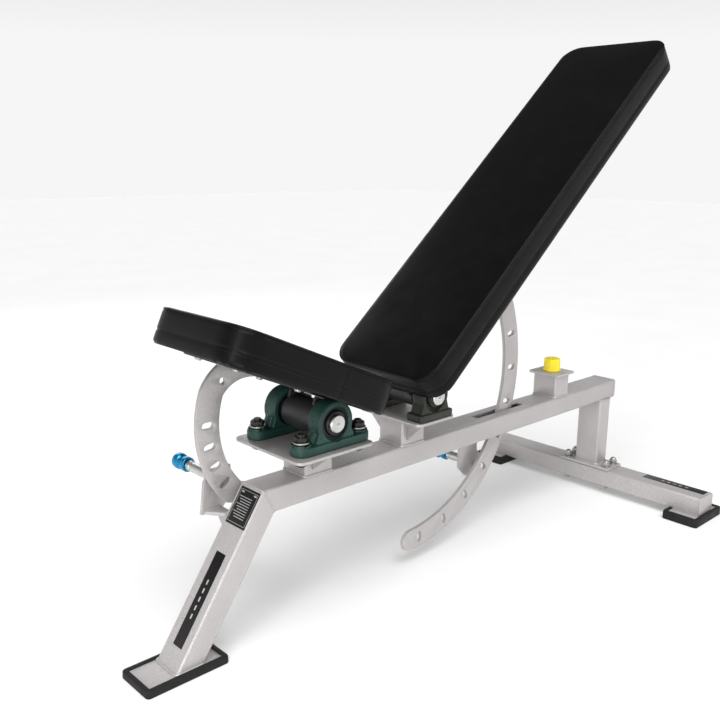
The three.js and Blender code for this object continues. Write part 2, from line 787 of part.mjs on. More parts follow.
// ---------------------------------------------------------------- the bench
const bench = new THREE.Group();
bench.add(
  ...feet(),
  ...spine(),
  ...frontLeg(),
  ...crossbar(),
  ...rearPost(),
  ...baseBolts.map(baseBolt),
  post('seat_post', seatPost),
  post('back_post', backPost),
  pivotPlate('seat_pivot_plate', seatPlate, blockBoltHoles()),
  pivotPlate('back_pivot_plate', backPlate, []),
  ...blockBolts.map(blockBolt),
  pivotTower('seat', seatPivotX, sides.map(seatBlock)),
  pivotTower('back', backPivotX, sides.map(backBlock)),
  ...stop(),
  seatPinBracket(),
  backPinBracket(),
  ...pullPin('seat_pin', seatPin),
  ...pullPin('back_pin', backPin),
  seat(),
  back(),
);

// The origin is on the floor, below the middle of the bench.
bench.position.x = -(crossbarX + rearFootLength / 2) / 2;

export default bench;
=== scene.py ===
"""The looks of the adjustable weight bench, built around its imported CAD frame.

Shapes are drawn in millimetres. The standing frame's drawing starts at the front foot's front edge
on the floor, and each tilting part is drawn level, with its pivot at zero.
"""
import math
import random

import bmesh
import bpy
from mathutils import Matrix, Vector
from mathutils.bvhtree import BVHTree


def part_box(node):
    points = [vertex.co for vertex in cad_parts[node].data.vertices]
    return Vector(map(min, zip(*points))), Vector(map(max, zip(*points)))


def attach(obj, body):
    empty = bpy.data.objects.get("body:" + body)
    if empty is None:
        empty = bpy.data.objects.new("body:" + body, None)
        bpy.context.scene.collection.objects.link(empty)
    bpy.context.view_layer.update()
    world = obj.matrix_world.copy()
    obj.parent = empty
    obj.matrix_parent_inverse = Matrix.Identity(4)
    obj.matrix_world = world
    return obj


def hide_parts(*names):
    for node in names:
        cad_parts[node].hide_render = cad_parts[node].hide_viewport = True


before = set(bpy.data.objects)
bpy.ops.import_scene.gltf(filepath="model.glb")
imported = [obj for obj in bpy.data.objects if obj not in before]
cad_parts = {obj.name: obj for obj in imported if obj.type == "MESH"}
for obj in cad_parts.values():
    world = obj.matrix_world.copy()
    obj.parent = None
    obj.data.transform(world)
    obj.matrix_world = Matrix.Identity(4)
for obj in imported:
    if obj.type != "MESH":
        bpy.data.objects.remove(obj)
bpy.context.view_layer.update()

MM = 0.001

# ---------------- driving dimensions, in millimetres
TUBE_WIDTH, TUBE_DEPTH, TUBE_WALL, TUBE_CORNER = 60, 42, 3, 5
SPINE_TOP, SPINE_REAR = 262, 1262
LEG_ANGLE, LEG_FOOT_X = math.radians(56.2), 54.5
CROSSBAR_X, CROSSBAR_HALF, CROSSBAR_HEIGHT = 1226, 292, 40
REAR_FOOT_Y = 262
FOOT_WIDTH, FRONT_FOOT, REAR_FOOT = 80, 145, 120
FRONT_BOOT, REAR_BOOT = 13, 19
BOOT_RIM, BOOT_LIP, BOOT_CORNER = 9, 2.5, 7
PLATE = 5
GAP = 0.3
PIVOT_Z, SEAT_PIVOT_X, BACK_PIVOT_X = 359, 338, 576
SEAT_TILT, BACK_TILT = math.radians(24), math.radians(-40.5)
BLOCK_Y, BLOCK_HEIGHT = 57, 43
PLATE_TOP = PIVOT_Z - BLOCK_HEIGHT
SHAFT_RADIUS, RING_RADIUS, BEARING_RADIUS = 15, 20, 27
ARC_THICKNESS = 8
SEAT_ARC = {"radius": 170, "width": 42, "y": 40, "step": math.radians(12), "pin": math.radians(214)}
BACK_ARC = {"radius": 308.5, "width": 43, "y": 0, "step": math.radians(13.5), "pin": math.radians(-42.2)}
PAD_WIDTH, PAD_THICKNESS, PAD_RIM, PAD_MARGIN = 246, 54, 5, 10
SEAT_PAD = {"x0": -268, "x1": 74, "bottom": 38.2, "corner": 50, "join": -62}  # join: the band's ends meet
BACK_PAD = {"x0": -28, "x1": 907, "bottom": 34.5, "corner": 40}
SEAM_HEIGHT, SEAM_RADIUS = 17, 2.6  # the pad band's lower seam, above the board's underside
TOP_SWELL, SIDE_SWELL = 6.0, 3.4  # the most that the cloth may move a cushion
CLOTH_FRAMES, CUSHION_VOXEL = 20, 4.8
BLOCK_BOLT_X, BASE_BOLT = 60.5, (15.5, 52)
CASTING_VOXEL = 1.3
SIDES = (("left", -1), ("right", 1))
AXIS = 0.01  # as near as a turned profile comes to its axis
STOP_X, RAIL_BOTTOM = 1038, -14.5

front_plate_top = FRONT_BOOT - BOOT_LIP - GAP
crossbar_bottom = REAR_BOOT - BOOT_LIP
crossbar_top = crossbar_bottom + CROSSBAR_HEIGHT
base_plate_top = crossbar_top + GAP + PLATE
leg_run = (SPINE_TOP - front_plate_top) / math.tan(LEG_ANGLE)
mitre_x = LEG_FOOT_X + leg_run

# ---------------- places
front_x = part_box("front_foot_boot")[0].x


def at(x, y, z):
    return Matrix.Translation((front_x + x * MM, y * MM, z * MM))


def move(x, y, z):
    return Matrix.Translation((x, y, z))


FRAME = at(0, 0, 0)
SEAT = at(SEAT_PIVOT_X, 0, PIVOT_Z) @ Matrix.Rotation(SEAT_TILT, 4, "Y")
BACK = at(BACK_PIVOT_X, 0, PIVOT_Z) @ Matrix.Rotation(BACK_TILT, 4, "Y")
SEAT_TOWER = at(SEAT_PIVOT_X, 0, PIVOT_Z)
BACK_TOWER = at(BACK_PIVOT_X, 0, PIVOT_Z)

# Turns that take a shape drawn in its XY plane, with its height along Z.
UPRIGHT = Matrix.Rotation(math.pi / 2, 4, "X")    # into the XZ plane, its height towards -Y
ALONG_Y = Matrix.Rotation(-math.pi / 2, 4, "X")   # height towards +Y
ALONG_X = Matrix(((0, 0, 1, 0), (1, 0, 0, 0), (0, 1, 0, 0), (0, 0, 0, 1)))  # height towards +X


# ---------------- outlines
def arc(cx, cy, radius, start, end, steps):
    """Points on a circle, both ends included, with angles in radians."""
    angles = [start + (end - start) * i / steps for i in range(steps + 1)]
    return [(cx + radius * math.cos(a), cy + radius * math.sin(a)) for a in angles]


def rounded(width, height, radius, cx=0, cy=0, steps=8):
    """A rectangle with round corners."""
    w, h = width / 2 - radius, height / 2 - radius
    quarter = math.pi / 2
    corners = [(w, h), (-w, h), (-w, -h), (w, -h)]
    return [
        point
        for k, (x, y) in enumerate(corners)
        for point in arc(cx + x, cy + y, radius, k * quarter, (k + 1) * quarter, steps)
    ]


def circle(radius, cx=0, cy=0, steps=48):
    return arc(cx, cy, radius, 0, 2 * math.pi * (1 - 1 / steps), steps - 1)


def turned(points, angle):
    c, s = math.cos(angle), math.sin(angle)
    return [(x * c - y * s, x * s + y * c) for x, y in points]


def curve_points(start, control, end, steps=10):
    """Points on a quadratic curve, without its start."""
    points = []
    for i in range(1, steps + 1):
        t = i / steps
        a, b, c = (1 - t) ** 2, 2 * t * (1 - t), t * t
        points.append(tuple(a * p + b * q + c * r for p, q, r in zip(start, control, end)))
    return points


def evenly(points, spacing):
    """A closed line's points, spread out evenly, with the direction of the line at each."""
    loop = [Vector(p) for p in points]
    ends = list(zip(loop, loop[1:] + loop[:1]))
    total = sum((b - a).length for a, b in ends)
    count = max(8, round(total / spacing))
    step, found, travelled = total / count, [], 0.0
    for a, b in ends:
        length = (b - a).length
        while len(found) < count and travelled + length >= len(found) * step:
            t = (len(found) * step - travelled) / max(length, 1e-9)
            found.append((a.lerp(b, t), (b - a).normalized()))
        travelled += length
    return found


# ---------------- meshes
def new_object(name, data):
    obj = bpy.data.objects.new(name, data)
    bpy.context.scene.collection.objects.link(obj)
    return obj


def applied(obj):
    """The object with its modifiers made real."""
    bpy.context.view_layer.update()
    depsgraph = bpy.context.evaluated_depsgraph_get()
    mesh = bpy.data.meshes.new_from_object(obj.evaluated_get(depsgraph))
    if obj.type == "MESH":
        obj.modifiers.clear()
        old = obj.data
        obj.data = mesh
        bpy.data.meshes.remove(old)
        return obj
    name = obj.name
    bpy.data.objects.remove(obj)
    return new_object(name, mesh)


def with_bmesh(obj, change):
    bm = bmesh.new()
    bm.from_mesh(obj.data)
    change(bm)
    bm.to_mesh(obj.data)
    bm.free()
    return obj


def tidy(obj):
    def change(bm):
        bmesh.ops.remove_doubles(bm, verts=bm.verts, dist=1e-4)
        bmesh.ops.recalc_face_normals(bm, faces=bm.faces)
    return with_bmesh(obj, change)


def add_line(curve, points, closed):
    """A straight-sided spline along points in a curve. Returns its points."""
    spline = curve.splines.new("POLY")
    spline.points.add(len(points) - 1)
    for point, p in zip(spline.points, points):
        point.co = (*p, 1)
    spline.use_cyclic_u = closed
    return spline.points


def plate(name, outline, thickness, holes=(), edge=0.6):
    """A flat plate in the XY plane, from zero up to its thickness, with rounded edges."""
    curve = bpy.data.curves.new(name, "CURVE")
    curve.dimensions, curve.fill_mode = "2D", "BOTH"
    curve.extrude, curve.bevel_depth, curve.offset = thickness / 2 - edge, edge, -edge
    curve.bevel_resolution = 1
    for points in [outline, *holes]:
        add_line(curve, [(x, y, 0) for x, y in points], True)
    obj = tidy(applied(new_object(name, curve)))
    obj.data.transform(move(0, 0, thickness / 2))
    return obj


def finished(name, bm):
    """A new object from a bmesh, which is then freed."""
    mesh = bpy.data.meshes.new(name)
    bm.to_mesh(mesh)
    bm.free()
    return new_object(name, mesh)


def skin(bm, rings, closed=False):
    """Faces over rings of equally many points, filled at both ends unless they close on themselves."""
    loops = [[bm.verts.new(p) for p in ring] for ring in rings]
    following = loops[1:] + loops[:1] if closed else loops[1:]
    for low, high in zip(loops, following):
        for i, vert in enumerate(low):
            j = (i + 1) % len(low)
            bm.faces.new((vert, low[j], high[j], high[i]))
    if not closed:
        bm.faces.new(loops[0])
        bm.faces.new(loops[-1])


def loft(name, rings, closed=False):
    bm = bmesh.new()
    skin(bm, rings, closed)
    bmesh.ops.recalc_face_normals(bm, faces=bm.faces)
    return finished(name, bm)


def mirrored(half):
    """A turned part's profile, from the points of its upper half."""
    return [(r, -h) for r, h in half] + half[::-1]


def lathe(name, profile, steps=48):
    """A turned part about Z. A profile that doesn't reach the axis closes on itself."""
    hollow = min(profile[0][0], profile[-1][0]) > 0.5
    rings = [[(x, y, h) for x, y in circle(r, steps=steps)] for r, h in profile]
    return loft(name, rings, closed=hollow)


def hexagon(name, flats, z0, z1, chamfer=1.2):
    """A hexagon head or nut about Z, with its corners turned off at both ends."""
    def ring(z, most):
        points = []
        for i in range(72):
            a = 2 * math.pi * i / 72
            side = (a + math.pi / 6) % (math.pi / 3) - math.pi / 6
            r = min(flats / 2 / math.cos(side), most)
            points.append((r * math.cos(a), r * math.sin(a), z))
        return points
    small, large = flats * 0.485, flats
    levels = [(z0, small), (z0 + chamfer, large), (z1 - chamfer, large), (z1, small)]
    return loft(name, [ring(z, most) for z, most in levels])


def placed(obj, matrix):
    obj.data.transform(matrix)
    if matrix.determinant() < 0:
        obj.data.flip_normals()
    return obj


def joined(name, *objects):
    """One object from several, each kept as it is."""
    bm = bmesh.new()
    for obj in objects:
        bm.from_mesh(obj.data)
        bpy.data.objects.remove(obj)
    return finished(name, bm)


def cut_out(obj, tool):
    """The object with the tool's shape cut out of it."""
    modifier = obj.modifiers.new("cut", "BOOLEAN")
    modifier.operation, modifier.solver, modifier.object = "DIFFERENCE", "EXACT", tool
    applied(obj)
    bpy.data.objects.remove(tool)
    return obj


def cast(obj):
    """The object fused into one casting, with soft inner corners."""
    remesh = obj.modifiers.new("fuse", "REMESH")
    remesh.mode, remesh.voxel_size = "VOXEL", CASTING_VOXEL
    smooth = obj.modifiers.new("soften", "SMOOTH")
    smooth.factor, smooth.iterations = 0.5, 5
    return applied(obj)


def line(name, points, radius, closed=True, ripple=0.0, steps=3):
    """A round bead or cord along points. A ripple swells it at every other point."""
    curve = bpy.data.curves.new(name, "CURVE")
    curve.dimensions, curve.bevel_depth, curve.bevel_resolution = "3D", radius, steps
    curve.use_fill_caps = not closed
    for i, point in enumerate(add_line(curve, points, closed)):
        point.radius = 1 + ripple * (i % 2)
    return tidy(applied(new_object(name, curve)))


def piece(obj, name, place, body, look, replaces=(), sharp=32):
    """Puts a drawn part in its place, on its body, with its material."""
    placed(obj, place @ Matrix.Scale(MM, 4))
    return settled(obj, name, body, look, replaces, sharp)


def settled(obj, name, body, look, replaces=(), sharp=32):
    obj.name = name
    obj.data.name = name
    obj.data.materials.clear()
    obj.data.materials.append(look)
    obj.data.shade_smooth()
    obj.data.set_sharp_from_angle(angle=math.radians(sharp))
    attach(obj, body)
    if replaces:
        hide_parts(*replaces)
    return obj


def silver(obj, node, place=FRAME, body="frame", finish="finished"):
    """Puts in a silver-painted part that stands for a CAD node."""
    piece(obj, f"{node}_{finish}", place, body, SILVER, [node])


def black(obj, node, place, body):
    """Puts in a black-painted part that stands for a CAD node."""
    piece(obj, f"{node}_finished", place, body, BLACK, [node])


# ---------------- materials
class Look:
    """A material under construction: a principled shader and short ways to feed it."""

    def __init__(self, name, color, roughness, metallic=0.0, **sockets):
        self.material = bpy.data.materials.new(name)
        self.material.use_nodes = True
        self.tree = self.material.node_tree
        self.shader = self.tree.nodes["Principled BSDF"]
        self.shader.inputs["Base Color"].default_value = (*color, 1)
        self.shader.inputs["Roughness"].default_value = roughness
        self.shader.inputs["Metallic"].default_value = metallic
        for socket, value in sockets.items():
            self.shader.inputs[socket.replace("_", " ")].default_value = value
        self.base = (*color, 1)
        self.height = None
        coordinates = self.node("ShaderNodeTexCoord")
        self.position = coordinates.outputs["Object"]

    def node(self, kind, **values):
        made = self.tree.nodes.new(kind)
        for key, value in values.items():
            setattr(made, key, value)
        return made

    def link(self, a, b):
        self.tree.links.new(a, b)

    def stretched(self, scale):
        mapping = self.node("ShaderNodeMapping")
        mapping.inputs["Scale"].default_value = scale
        self.link(self.position, mapping.inputs["Vector"])
        return mapping.outputs["Vector"]

    def noise(self, scale, detail=3.0, rough=0.5, stretch=(1, 1, 1)):
        made = self.node("ShaderNodeTexNoise")
        made.inputs["Scale"].default_value = scale
        made.inputs["Detail"].default_value = detail
        made.inputs["Roughness"].default_value = rough
        self.link(self.stretched(stretch), made.inputs["Vector"])
        return made.outputs["Fac"]

    def cells(self, scale):
        made = self.node("ShaderNodeTexVoronoi")
        made.inputs["Scale"].default_value = scale
        self.link(self.position, made.inputs["Vector"])
        return made.outputs["Distance"]

    def ramp(self, fac, low, high):
        """Fades from black to white as fac goes from low to high."""
        made = self.node("ShaderNodeValToRGB")
        made.color_ramp.elements[0].position = low
        made.color_ramp.elements[1].position = high
        self.link(fac, made.inputs["Fac"])
        return made.outputs["Color"]

    def tint(self, mask, color):
        """Paints another colour over the base where the mask is white."""
        mix = self.node("ShaderNodeMix", data_type="RGBA")
        if isinstance(self.base, tuple):
            mix.inputs["A"].default_value = self.base
        else:
            self.link(self.base, mix.inputs["A"])
        mix.inputs["B"].default_value = (*color, 1)
        self.link(mask, mix.inputs["Factor"])
        self.base = mix.outputs["Result"]
        self.link(self.base, self.shader.inputs["Base Color"])
        return self

    def patches(self, noise, low, high, color):
        """Paints another colour where the noise is high."""
        return self.tint(self.ramp(self.noise(*noise), low, high), color)

    def vary_roughness(self, noise, low, high):
        made = self.node("ShaderNodeMapRange")
        made.inputs["To Min"].default_value, made.inputs["To Max"].default_value = low, high
        made.inputs["From Min"].default_value, made.inputs["From Max"].default_value = 0.25, 0.75
        self.link(self.noise(*noise), made.inputs["Value"])
        self.link(made.outputs["Result"], self.shader.inputs["Roughness"])
        return self

    def grain(self, noise, millimetres, strength):
        return self.bump(self.noise(*noise), millimetres, strength)

    def bump(self, height, millimetres, strength):
        """Adds a relief of that many millimetres on top of the earlier ones."""
        made = self.node("ShaderNodeBump")
        made.inputs["Distance"].default_value = millimetres * MM
        made.inputs["Strength"].default_value = strength
        self.link(height, made.inputs["Height"])
        if self.height is not None:
            self.link(self.height, made.inputs["Normal"])
        self.height = made.outputs["Normal"]
        self.link(self.height, self.shader.inputs["Normal"])
        return self


def silver_paint():
    look = Look("silver_paint", (0.46, 0.437, 0.432), 0.4, 0.4)
    look.patches((7, 4), 0.35, 0.7, (0.40, 0.38, 0.375))
    look.patches((1500, 2, 0.7), 0.52, 0.62, (0.76, 0.74, 0.735))
    look.patches((1100, 2, 0.7), 0.56, 0.66, (0.20, 0.19, 0.19))
    look.vary_roughness((60, 4), 0.34, 0.5)
    look.grain((420, 2), 0.05, 0.5)
    return look.material


def black_paint():
    look = Look("black_paint", (0.016, 0.016, 0.018), 0.42, 0.0, Specular_IOR_Level=0.5)
    look.patches((900, 2, 0.7), 0.62, 0.7, (0.06, 0.06, 0.065))
    look.patches((14, 5), 0.55, 0.8, (0.03, 0.03, 0.032))
    look.vary_roughness((50, 4), 0.36, 0.56)
    look.grain((500, 2), 0.06, 0.6)
    return look.material


def casting(name, color, pale):
    look = Look(name, color, 0.45, 0.1)
    look.patches((25, 5), 0.45, 0.75, pale)
    look.patches((300, 3, 0.7), 0.62, 0.72, tuple(0.45 * c for c in color))
    look.vary_roughness((120, 4), 0.36, 0.62)
    look.grain((260, 4), 0.35, 0.6)
    look.grain((1200, 2), 0.06, 0.5)
    return look.material


def steel():
    color = (0.62, 0.615, 0.6)
    look = Look("bright_steel", color, 0.26, 1.0)
    look.patches((40, 5), 0.5, 0.75, tuple(0.8 * c for c in color))
    look.vary_roughness((220, 4), 0.18, 0.42)
    look.grain((900, 2, 0.5, (0.06, 1, 0.06)), 0.02, 0.6)  # rings left by turning
    return look.material


def zinc():
    look = Look("zinc_plate", (0.46, 0.455, 0.43), 0.34, 1.0)
    look.patches((90, 5), 0.45, 0.7, (0.30, 0.295, 0.28))
    look.vary_roughness((260, 4), 0.26, 0.52)
    look.grain((700, 3), 0.04, 0.6)
    return look.material


def rubber():
    look = Look("black_rubber", (0.008, 0.008, 0.008), 0.6, 0.0, Specular_IOR_Level=0.3)
    look.patches((30, 5), 0.5, 0.8, (0.016, 0.0155, 0.015))
    look.patches((900, 2, 0.7), 0.62, 0.7, (0.03, 0.03, 0.029))
    look.vary_roughness((70, 4), 0.5, 0.8)
    look.grain((800, 3), 0.08, 0.7)
    return look.material


def leather():
    look = Look("black_leather", (0.003, 0.003, 0.0031), 0.34, 0.0, Specular_IOR_Level=0.12)
    look.patches((16, 5), 0.5, 0.8, (0.0045, 0.0045, 0.0047))
    look.tint(look.ramp(look.cells(620), 0.55, 0.95), (0.0015, 0.0015, 0.0015))
    look.vary_roughness((35, 5), 0.28, 0.42)
    look.bump(look.cells(620), 0.16, 0.55)
    look.grain((240, 4), 0.12, 0.5)
    return look.material


def thread():
    look = Look("black_thread", (0.007, 0.007, 0.0072), 0.6, 0.0, Specular_IOR_Level=0.25)
    look.patches((1500, 2), 0.45, 0.6, (0.014, 0.014, 0.014))
    look.grain((2600, 2), 0.05, 0.8)
    return look.material


def anodised():
    look = Look("blue_anodised", (0.02, 0.27, 0.52), 0.26, 0.9)
    look.patches((70, 4), 0.5, 0.8, (0.012, 0.21, 0.44))
    look.vary_roughness((300, 3), 0.18, 0.34)
    look.grain((1500, 2, 0.5, (0.04, 1, 0.04)), 0.02, 0.6)
    return look.material


def yellow_rubber():
    look = Look("yellow_rubber", (0.95, 0.78, 0.02), 0.42, 0.0)
    look.patches((60, 5), 0.5, 0.8, (0.82, 0.64, 0.016))
    look.vary_roughness((90, 4), 0.34, 0.55)
    look.grain((600, 3), 0.06, 0.6)
    return look.material


def plywood():
    look = Look("plywood", (0.030, 0.022, 0.016), 0.7)  # stained black, so it doesn't show below the cover
    look.patches((30, 6, 0.65, (0.12, 1, 1)), 0.42, 0.65, (0.018, 0.013, 0.010))
    look.patches((260, 3, 0.6, (0.05, 1, 1)), 0.55, 0.7, (0.055, 0.040, 0.028))
    look.vary_roughness((120, 3), 0.6, 0.85)
    look.grain((260, 3, 0.6, (0.05, 1, 1)), 0.12, 0.7)
    return look.material


def oxide():
    look = Look("black_oxide", (0.035, 0.036, 0.034), 0.36, 0.8)
    look.patches((90, 5), 0.45, 0.7, (0.06, 0.058, 0.052))
    look.patches((400, 3, 0.7), 0.6, 0.72, (0.10, 0.075, 0.055))
    look.vary_roughness((260, 4), 0.3, 0.55)
    look.grain((700, 3), 0.04, 0.6)
    return look.material


def seal():
    look = Look("bearing_seal", (0.010, 0.010, 0.011), 0.4, 0.0, Specular_IOR_Level=0.35)
    look.patches((200, 4), 0.5, 0.75, (0.022, 0.021, 0.020))
    look.vary_roughness((180, 4), 0.32, 0.55)
    look.grain((900, 3), 0.05, 0.6)
    return look.material


def label_film(name, color, mark):
    look = Look(name, color, 0.3, 0.0, Specular_IOR_Level=0.25)
    look.patches((35, 5), 0.52, 0.8, mark)
    look.vary_roughness((80, 4), 0.24, 0.42)
    look.grain((500, 2), 0.02, 0.5)
    return look.material


SILVER, BLACK, RUBBER, LEATHER = silver_paint(), black_paint(), rubber(), leather()
GREEN = casting("green_casting", (0.008, 0.042, 0.032), (0.014, 0.066, 0.05))
OLIVE = casting("olive_casting", (0.015, 0.018, 0.011), (0.030, 0.035, 0.022))
STEEL, ZINC, OXIDE, SEAL = steel(), zinc(), oxide(), seal()
THREAD, BLUE, YELLOW, WOOD = thread(), anodised(), yellow_rubber(), plywood()
LABEL = label_film("label_black", (0.004, 0.004, 0.004), (0.007, 0.007, 0.007))
PRINT = label_film("label_print", (0.42, 0.42, 0.42), (0.34, 0.34, 0.34))


# ---------------- weld beads
beads = []


def weld(points, radius=1.9, closed=True):
    """A rippled bead along a line in the standing frame's drawing."""
    steps = evenly(points, 2.1)
    wobble = random.Random(len(beads))
    spots = [p + Vector([wobble.uniform(-0.15, 0.15) for _ in range(3)]) for p, _ in steps]
    beads.append(line("bead", spots, radius, closed, ripple=0.16, steps=2))


def weld_ring(width_x, width_y, corner, x, z, radius):
    """A bead round the end of an upright tube."""
    weld([(px, py, z) for px, py in rounded(width_x, width_y, corner, x)], radius)


# ---------------- feet
def foot(name, x0, length, y, height, notch=None):
    x, width = x0 + length / 2, FOOT_WIDTH
    plate_top = height - BOOT_LIP
    pocket_bottom = plate_top - PLATE - GAP
    steps = [  # how far each ring is from the boot's outline, and its height
        (-2.2, 0), (-0.6, 0.5), (0, 2), (-0.3, height - 2.6), (-1, height - 0.9), (-2.6, height),
        (2 - BOOT_RIM, height), (0.6 - BOOT_RIM, height - 0.7), (-BOOT_RIM, height - 1.8),
        (-BOOT_RIM, plate_top), (-4, plate_top), (-4, pocket_bottom),
    ]
    rings = []
    for out, z in steps:
        corner = max(BOOT_CORNER + out, 1.5)
        outline = rounded(length + 2 * out, width + 2 * out, corner, x, y)
        rings.append([(px, py, z) for px, py in outline])
    boot = loft("boot", rings)
    if notch:
        cut_out(boot, loft("notch", notch))
    piece(boot, f"{name}_boot_moulded", FRAME, "frame", RUBBER, [f"{name}_boot"])
    base = plate("base", rounded(length - 8.6, width - 8.6, 3, x, y), PLATE - GAP, edge=0.5)
    placed(base, move(0, 0, pocket_bottom + GAP))
    silver(base, f"{name}_plate")


def block(x0, x1, y0, y1, z0, z1):
    """The two end rings of a plain cutting block."""
    ring = [(x0, y0), (x1, y0), (x1, y1), (x0, y1)]
    return [[(x, y, z) for x, y in ring] for z in (z0, z1)]


def feet():
    foot("front_foot", 0, FRONT_FOOT, 0, FRONT_BOOT)
    for side, sign in SIDES:
        half = TUBE_WIDTH / 2 + GAP
        reach = sorted((0, sign * (CROSSBAR_HALF + GAP)))
        notch = block(CROSSBAR_X - half, CROSSBAR_X + half, *reach, crossbar_bottom - GAP, REAR_BOOT + 5)
        x0 = CROSSBAR_X - REAR_FOOT / 2
        foot(f"rear_foot_{side}", x0, REAR_FOOT, sign * REAR_FOOT_Y, REAR_BOOT, notch)


# ---------------- tubes
def tube(width, height, length):
    """A box tube along Z from zero, open at both ends."""
    inside = rounded(width - 2 * TUBE_WALL, height - 2 * TUBE_WALL, TUBE_CORNER - TUBE_WALL)
    return plate("tube", rounded(width, height, TUBE_CORNER), length, [inside], edge=0.35)


def sliced(obj, point, normal):
    """The object without what lies on the normal's side of a plane, closed again."""
    def change(bm):
        everything = bm.verts[:] + bm.edges[:] + bm.faces[:]
        cut = bmesh.ops.bisect_plane(
            bm, geom=everything, plane_co=point, plane_no=normal, clear_outer=True)
        rim = [e for e in cut["geom_cut"] if isinstance(e, bmesh.types.BMEdge)]
        bmesh.ops.triangle_fill(bm, edges=rim, use_beauty=True)
        bmesh.ops.recalc_face_normals(bm, faces=bm.faces)
    return with_bmesh(obj, change)


def spine_and_leg():
    centre = SPINE_TOP - TUBE_DEPTH / 2
    lean = math.pi / 2 - (math.pi - LEG_ANGLE) / 2
    across = Vector((math.cos(lean), 0, math.sin(lean)))  # square to the mitre, towards the spine
    corner = Vector((mitre_x, 0, SPINE_TOP))
    start, end = mitre_x - 60, SPINE_REAR - PLATE
    spine = placed(tube(TUBE_WIDTH, TUBE_DEPTH, end - start), move(start, 0, centre) @ ALONG_X)
    spine = sliced(spine, corner + across * 0.05, -across)
    slot = plate("slot", rounded(152, 18, 3, 850, 0), 120, edge=0.05)
    cut_out(spine, placed(slot, move(0, 0, 180)))
    silver(spine, "spine_tube")

    cap = plate("cap", rounded(TUBE_WIDTH, TUBE_DEPTH, TUBE_CORNER), PLATE - 0.2, edge=0.8)
    placed(cap, move(end + 0.2, 0, centre) @ ALONG_X)
    silver(cap, "spine_end_cap")

    length = leg_run / math.cos(LEG_ANGLE)
    leg_place = move(LEG_FOOT_X, 0, front_plate_top) @ Matrix.Rotation(-LEG_ANGLE, 4, "Y")
    leg = placed(tube(TUBE_WIDTH, TUBE_DEPTH, length + 130), move(-65, 0, -TUBE_DEPTH / 2) @ ALONG_X)
    placed(leg, leg_place)
    leg = sliced(leg, corner - across * 0.05, across)
    leg = sliced(leg, Vector((0, 0, front_plate_top + GAP)), Vector((0, 0, -1)))
    silver(leg, "front_leg")

    section = rounded(TUBE_WIDTH, TUBE_DEPTH, TUBE_CORNER)
    seam = []
    for y, z in section:
        height = centre + z
        seam.append((mitre_x - (height - SPINE_TOP) * math.tan(lean), y, height))
    weld(seam, 1.5)
    run = TUBE_DEPTH / math.sin(LEG_ANGLE)
    weld_ring(run, TUBE_WIDTH, 6, LEG_FOOT_X + run / 2, front_plate_top + 0.6, 2.4)
    weld([(end + 0.1, y, centre + z) for y, z in section], 0.9)
    return leg_place


def rear_frame():
    bar = placed(tube(TUBE_WIDTH, CROSSBAR_HEIGHT, 2 * CROSSBAR_HALF - 2 * PLATE), ALONG_Y)
    middle = (crossbar_bottom + crossbar_top) / 2
    placed(bar, move(CROSSBAR_X, PLATE - CROSSBAR_HALF, middle))
    silver(bar, "crossbar")
    section = rounded(TUBE_WIDTH, CROSSBAR_HEIGHT, TUBE_CORNER)
    for side, sign in SIDES:
        cap = placed(plate("cap", section, PLATE - 0.1, edge=0.8), ALONG_Y)
        y = CROSSBAR_HALF - PLATE + 0.1 if sign > 0 else -CROSSBAR_HALF
        placed(cap, move(CROSSBAR_X, y, middle))
        silver(cap, f"crossbar_end_cap_{side}")
        seam = sign * (CROSSBAR_HALF - PLATE)
        weld([(CROSSBAR_X + x, seam, middle + z) for x, z in section], 0.9)
        for edge in (-1, 1):
            x = CROSSBAR_X + edge * (TUBE_WIDTH / 2 - 1)
            ends = [(x, sign * y, crossbar_bottom + 0.8) for y in range(233, 291, 2)]
            weld(ends, 1.7, closed=False)

    post = placed(tube(TUBE_DEPTH, TUBE_WIDTH, SPINE_TOP - TUBE_DEPTH - base_plate_top - 2 * GAP),
                  move(CROSSBAR_X, 0, base_plate_top + GAP))
    silver(post, "rear_post")
    weld_ring(TUBE_DEPTH, TUBE_WIDTH, 5, CROSSBAR_X, base_plate_top + 0.8, 2.2)
    weld_ring(TUBE_DEPTH, TUBE_WIDTH - 1, 5, CROSSBAR_X, SPINE_TOP - TUBE_DEPTH - 0.6, 1.8)
    base = plate("base", rounded(TUBE_WIDTH, 132, 3), PLATE, edge=0.7)
    placed(base, move(CROSSBAR_X, 0, crossbar_top + GAP))
    silver(base, "rear_base_plate")


def steps_to(end, count):
    """Even steps from zero, stopping just short of the end."""
    return [end * i / count for i in range(count)] + [end * 0.998]


def washer(radius, bore, z, thickness=2.0):
    edge = 0.35
    profile = [
        (bore, z), (radius - edge, z), (radius, z + edge), (radius, z + thickness - edge),
        (radius - edge, z + thickness), (bore, z + thickness),
    ]
    return lathe("washer", profile)


def four(x, y):
    """Four places, mirrored about both middle lines."""
    return [(i * x, j * y) for i in (-1, 1) for j in (-1, 1)]


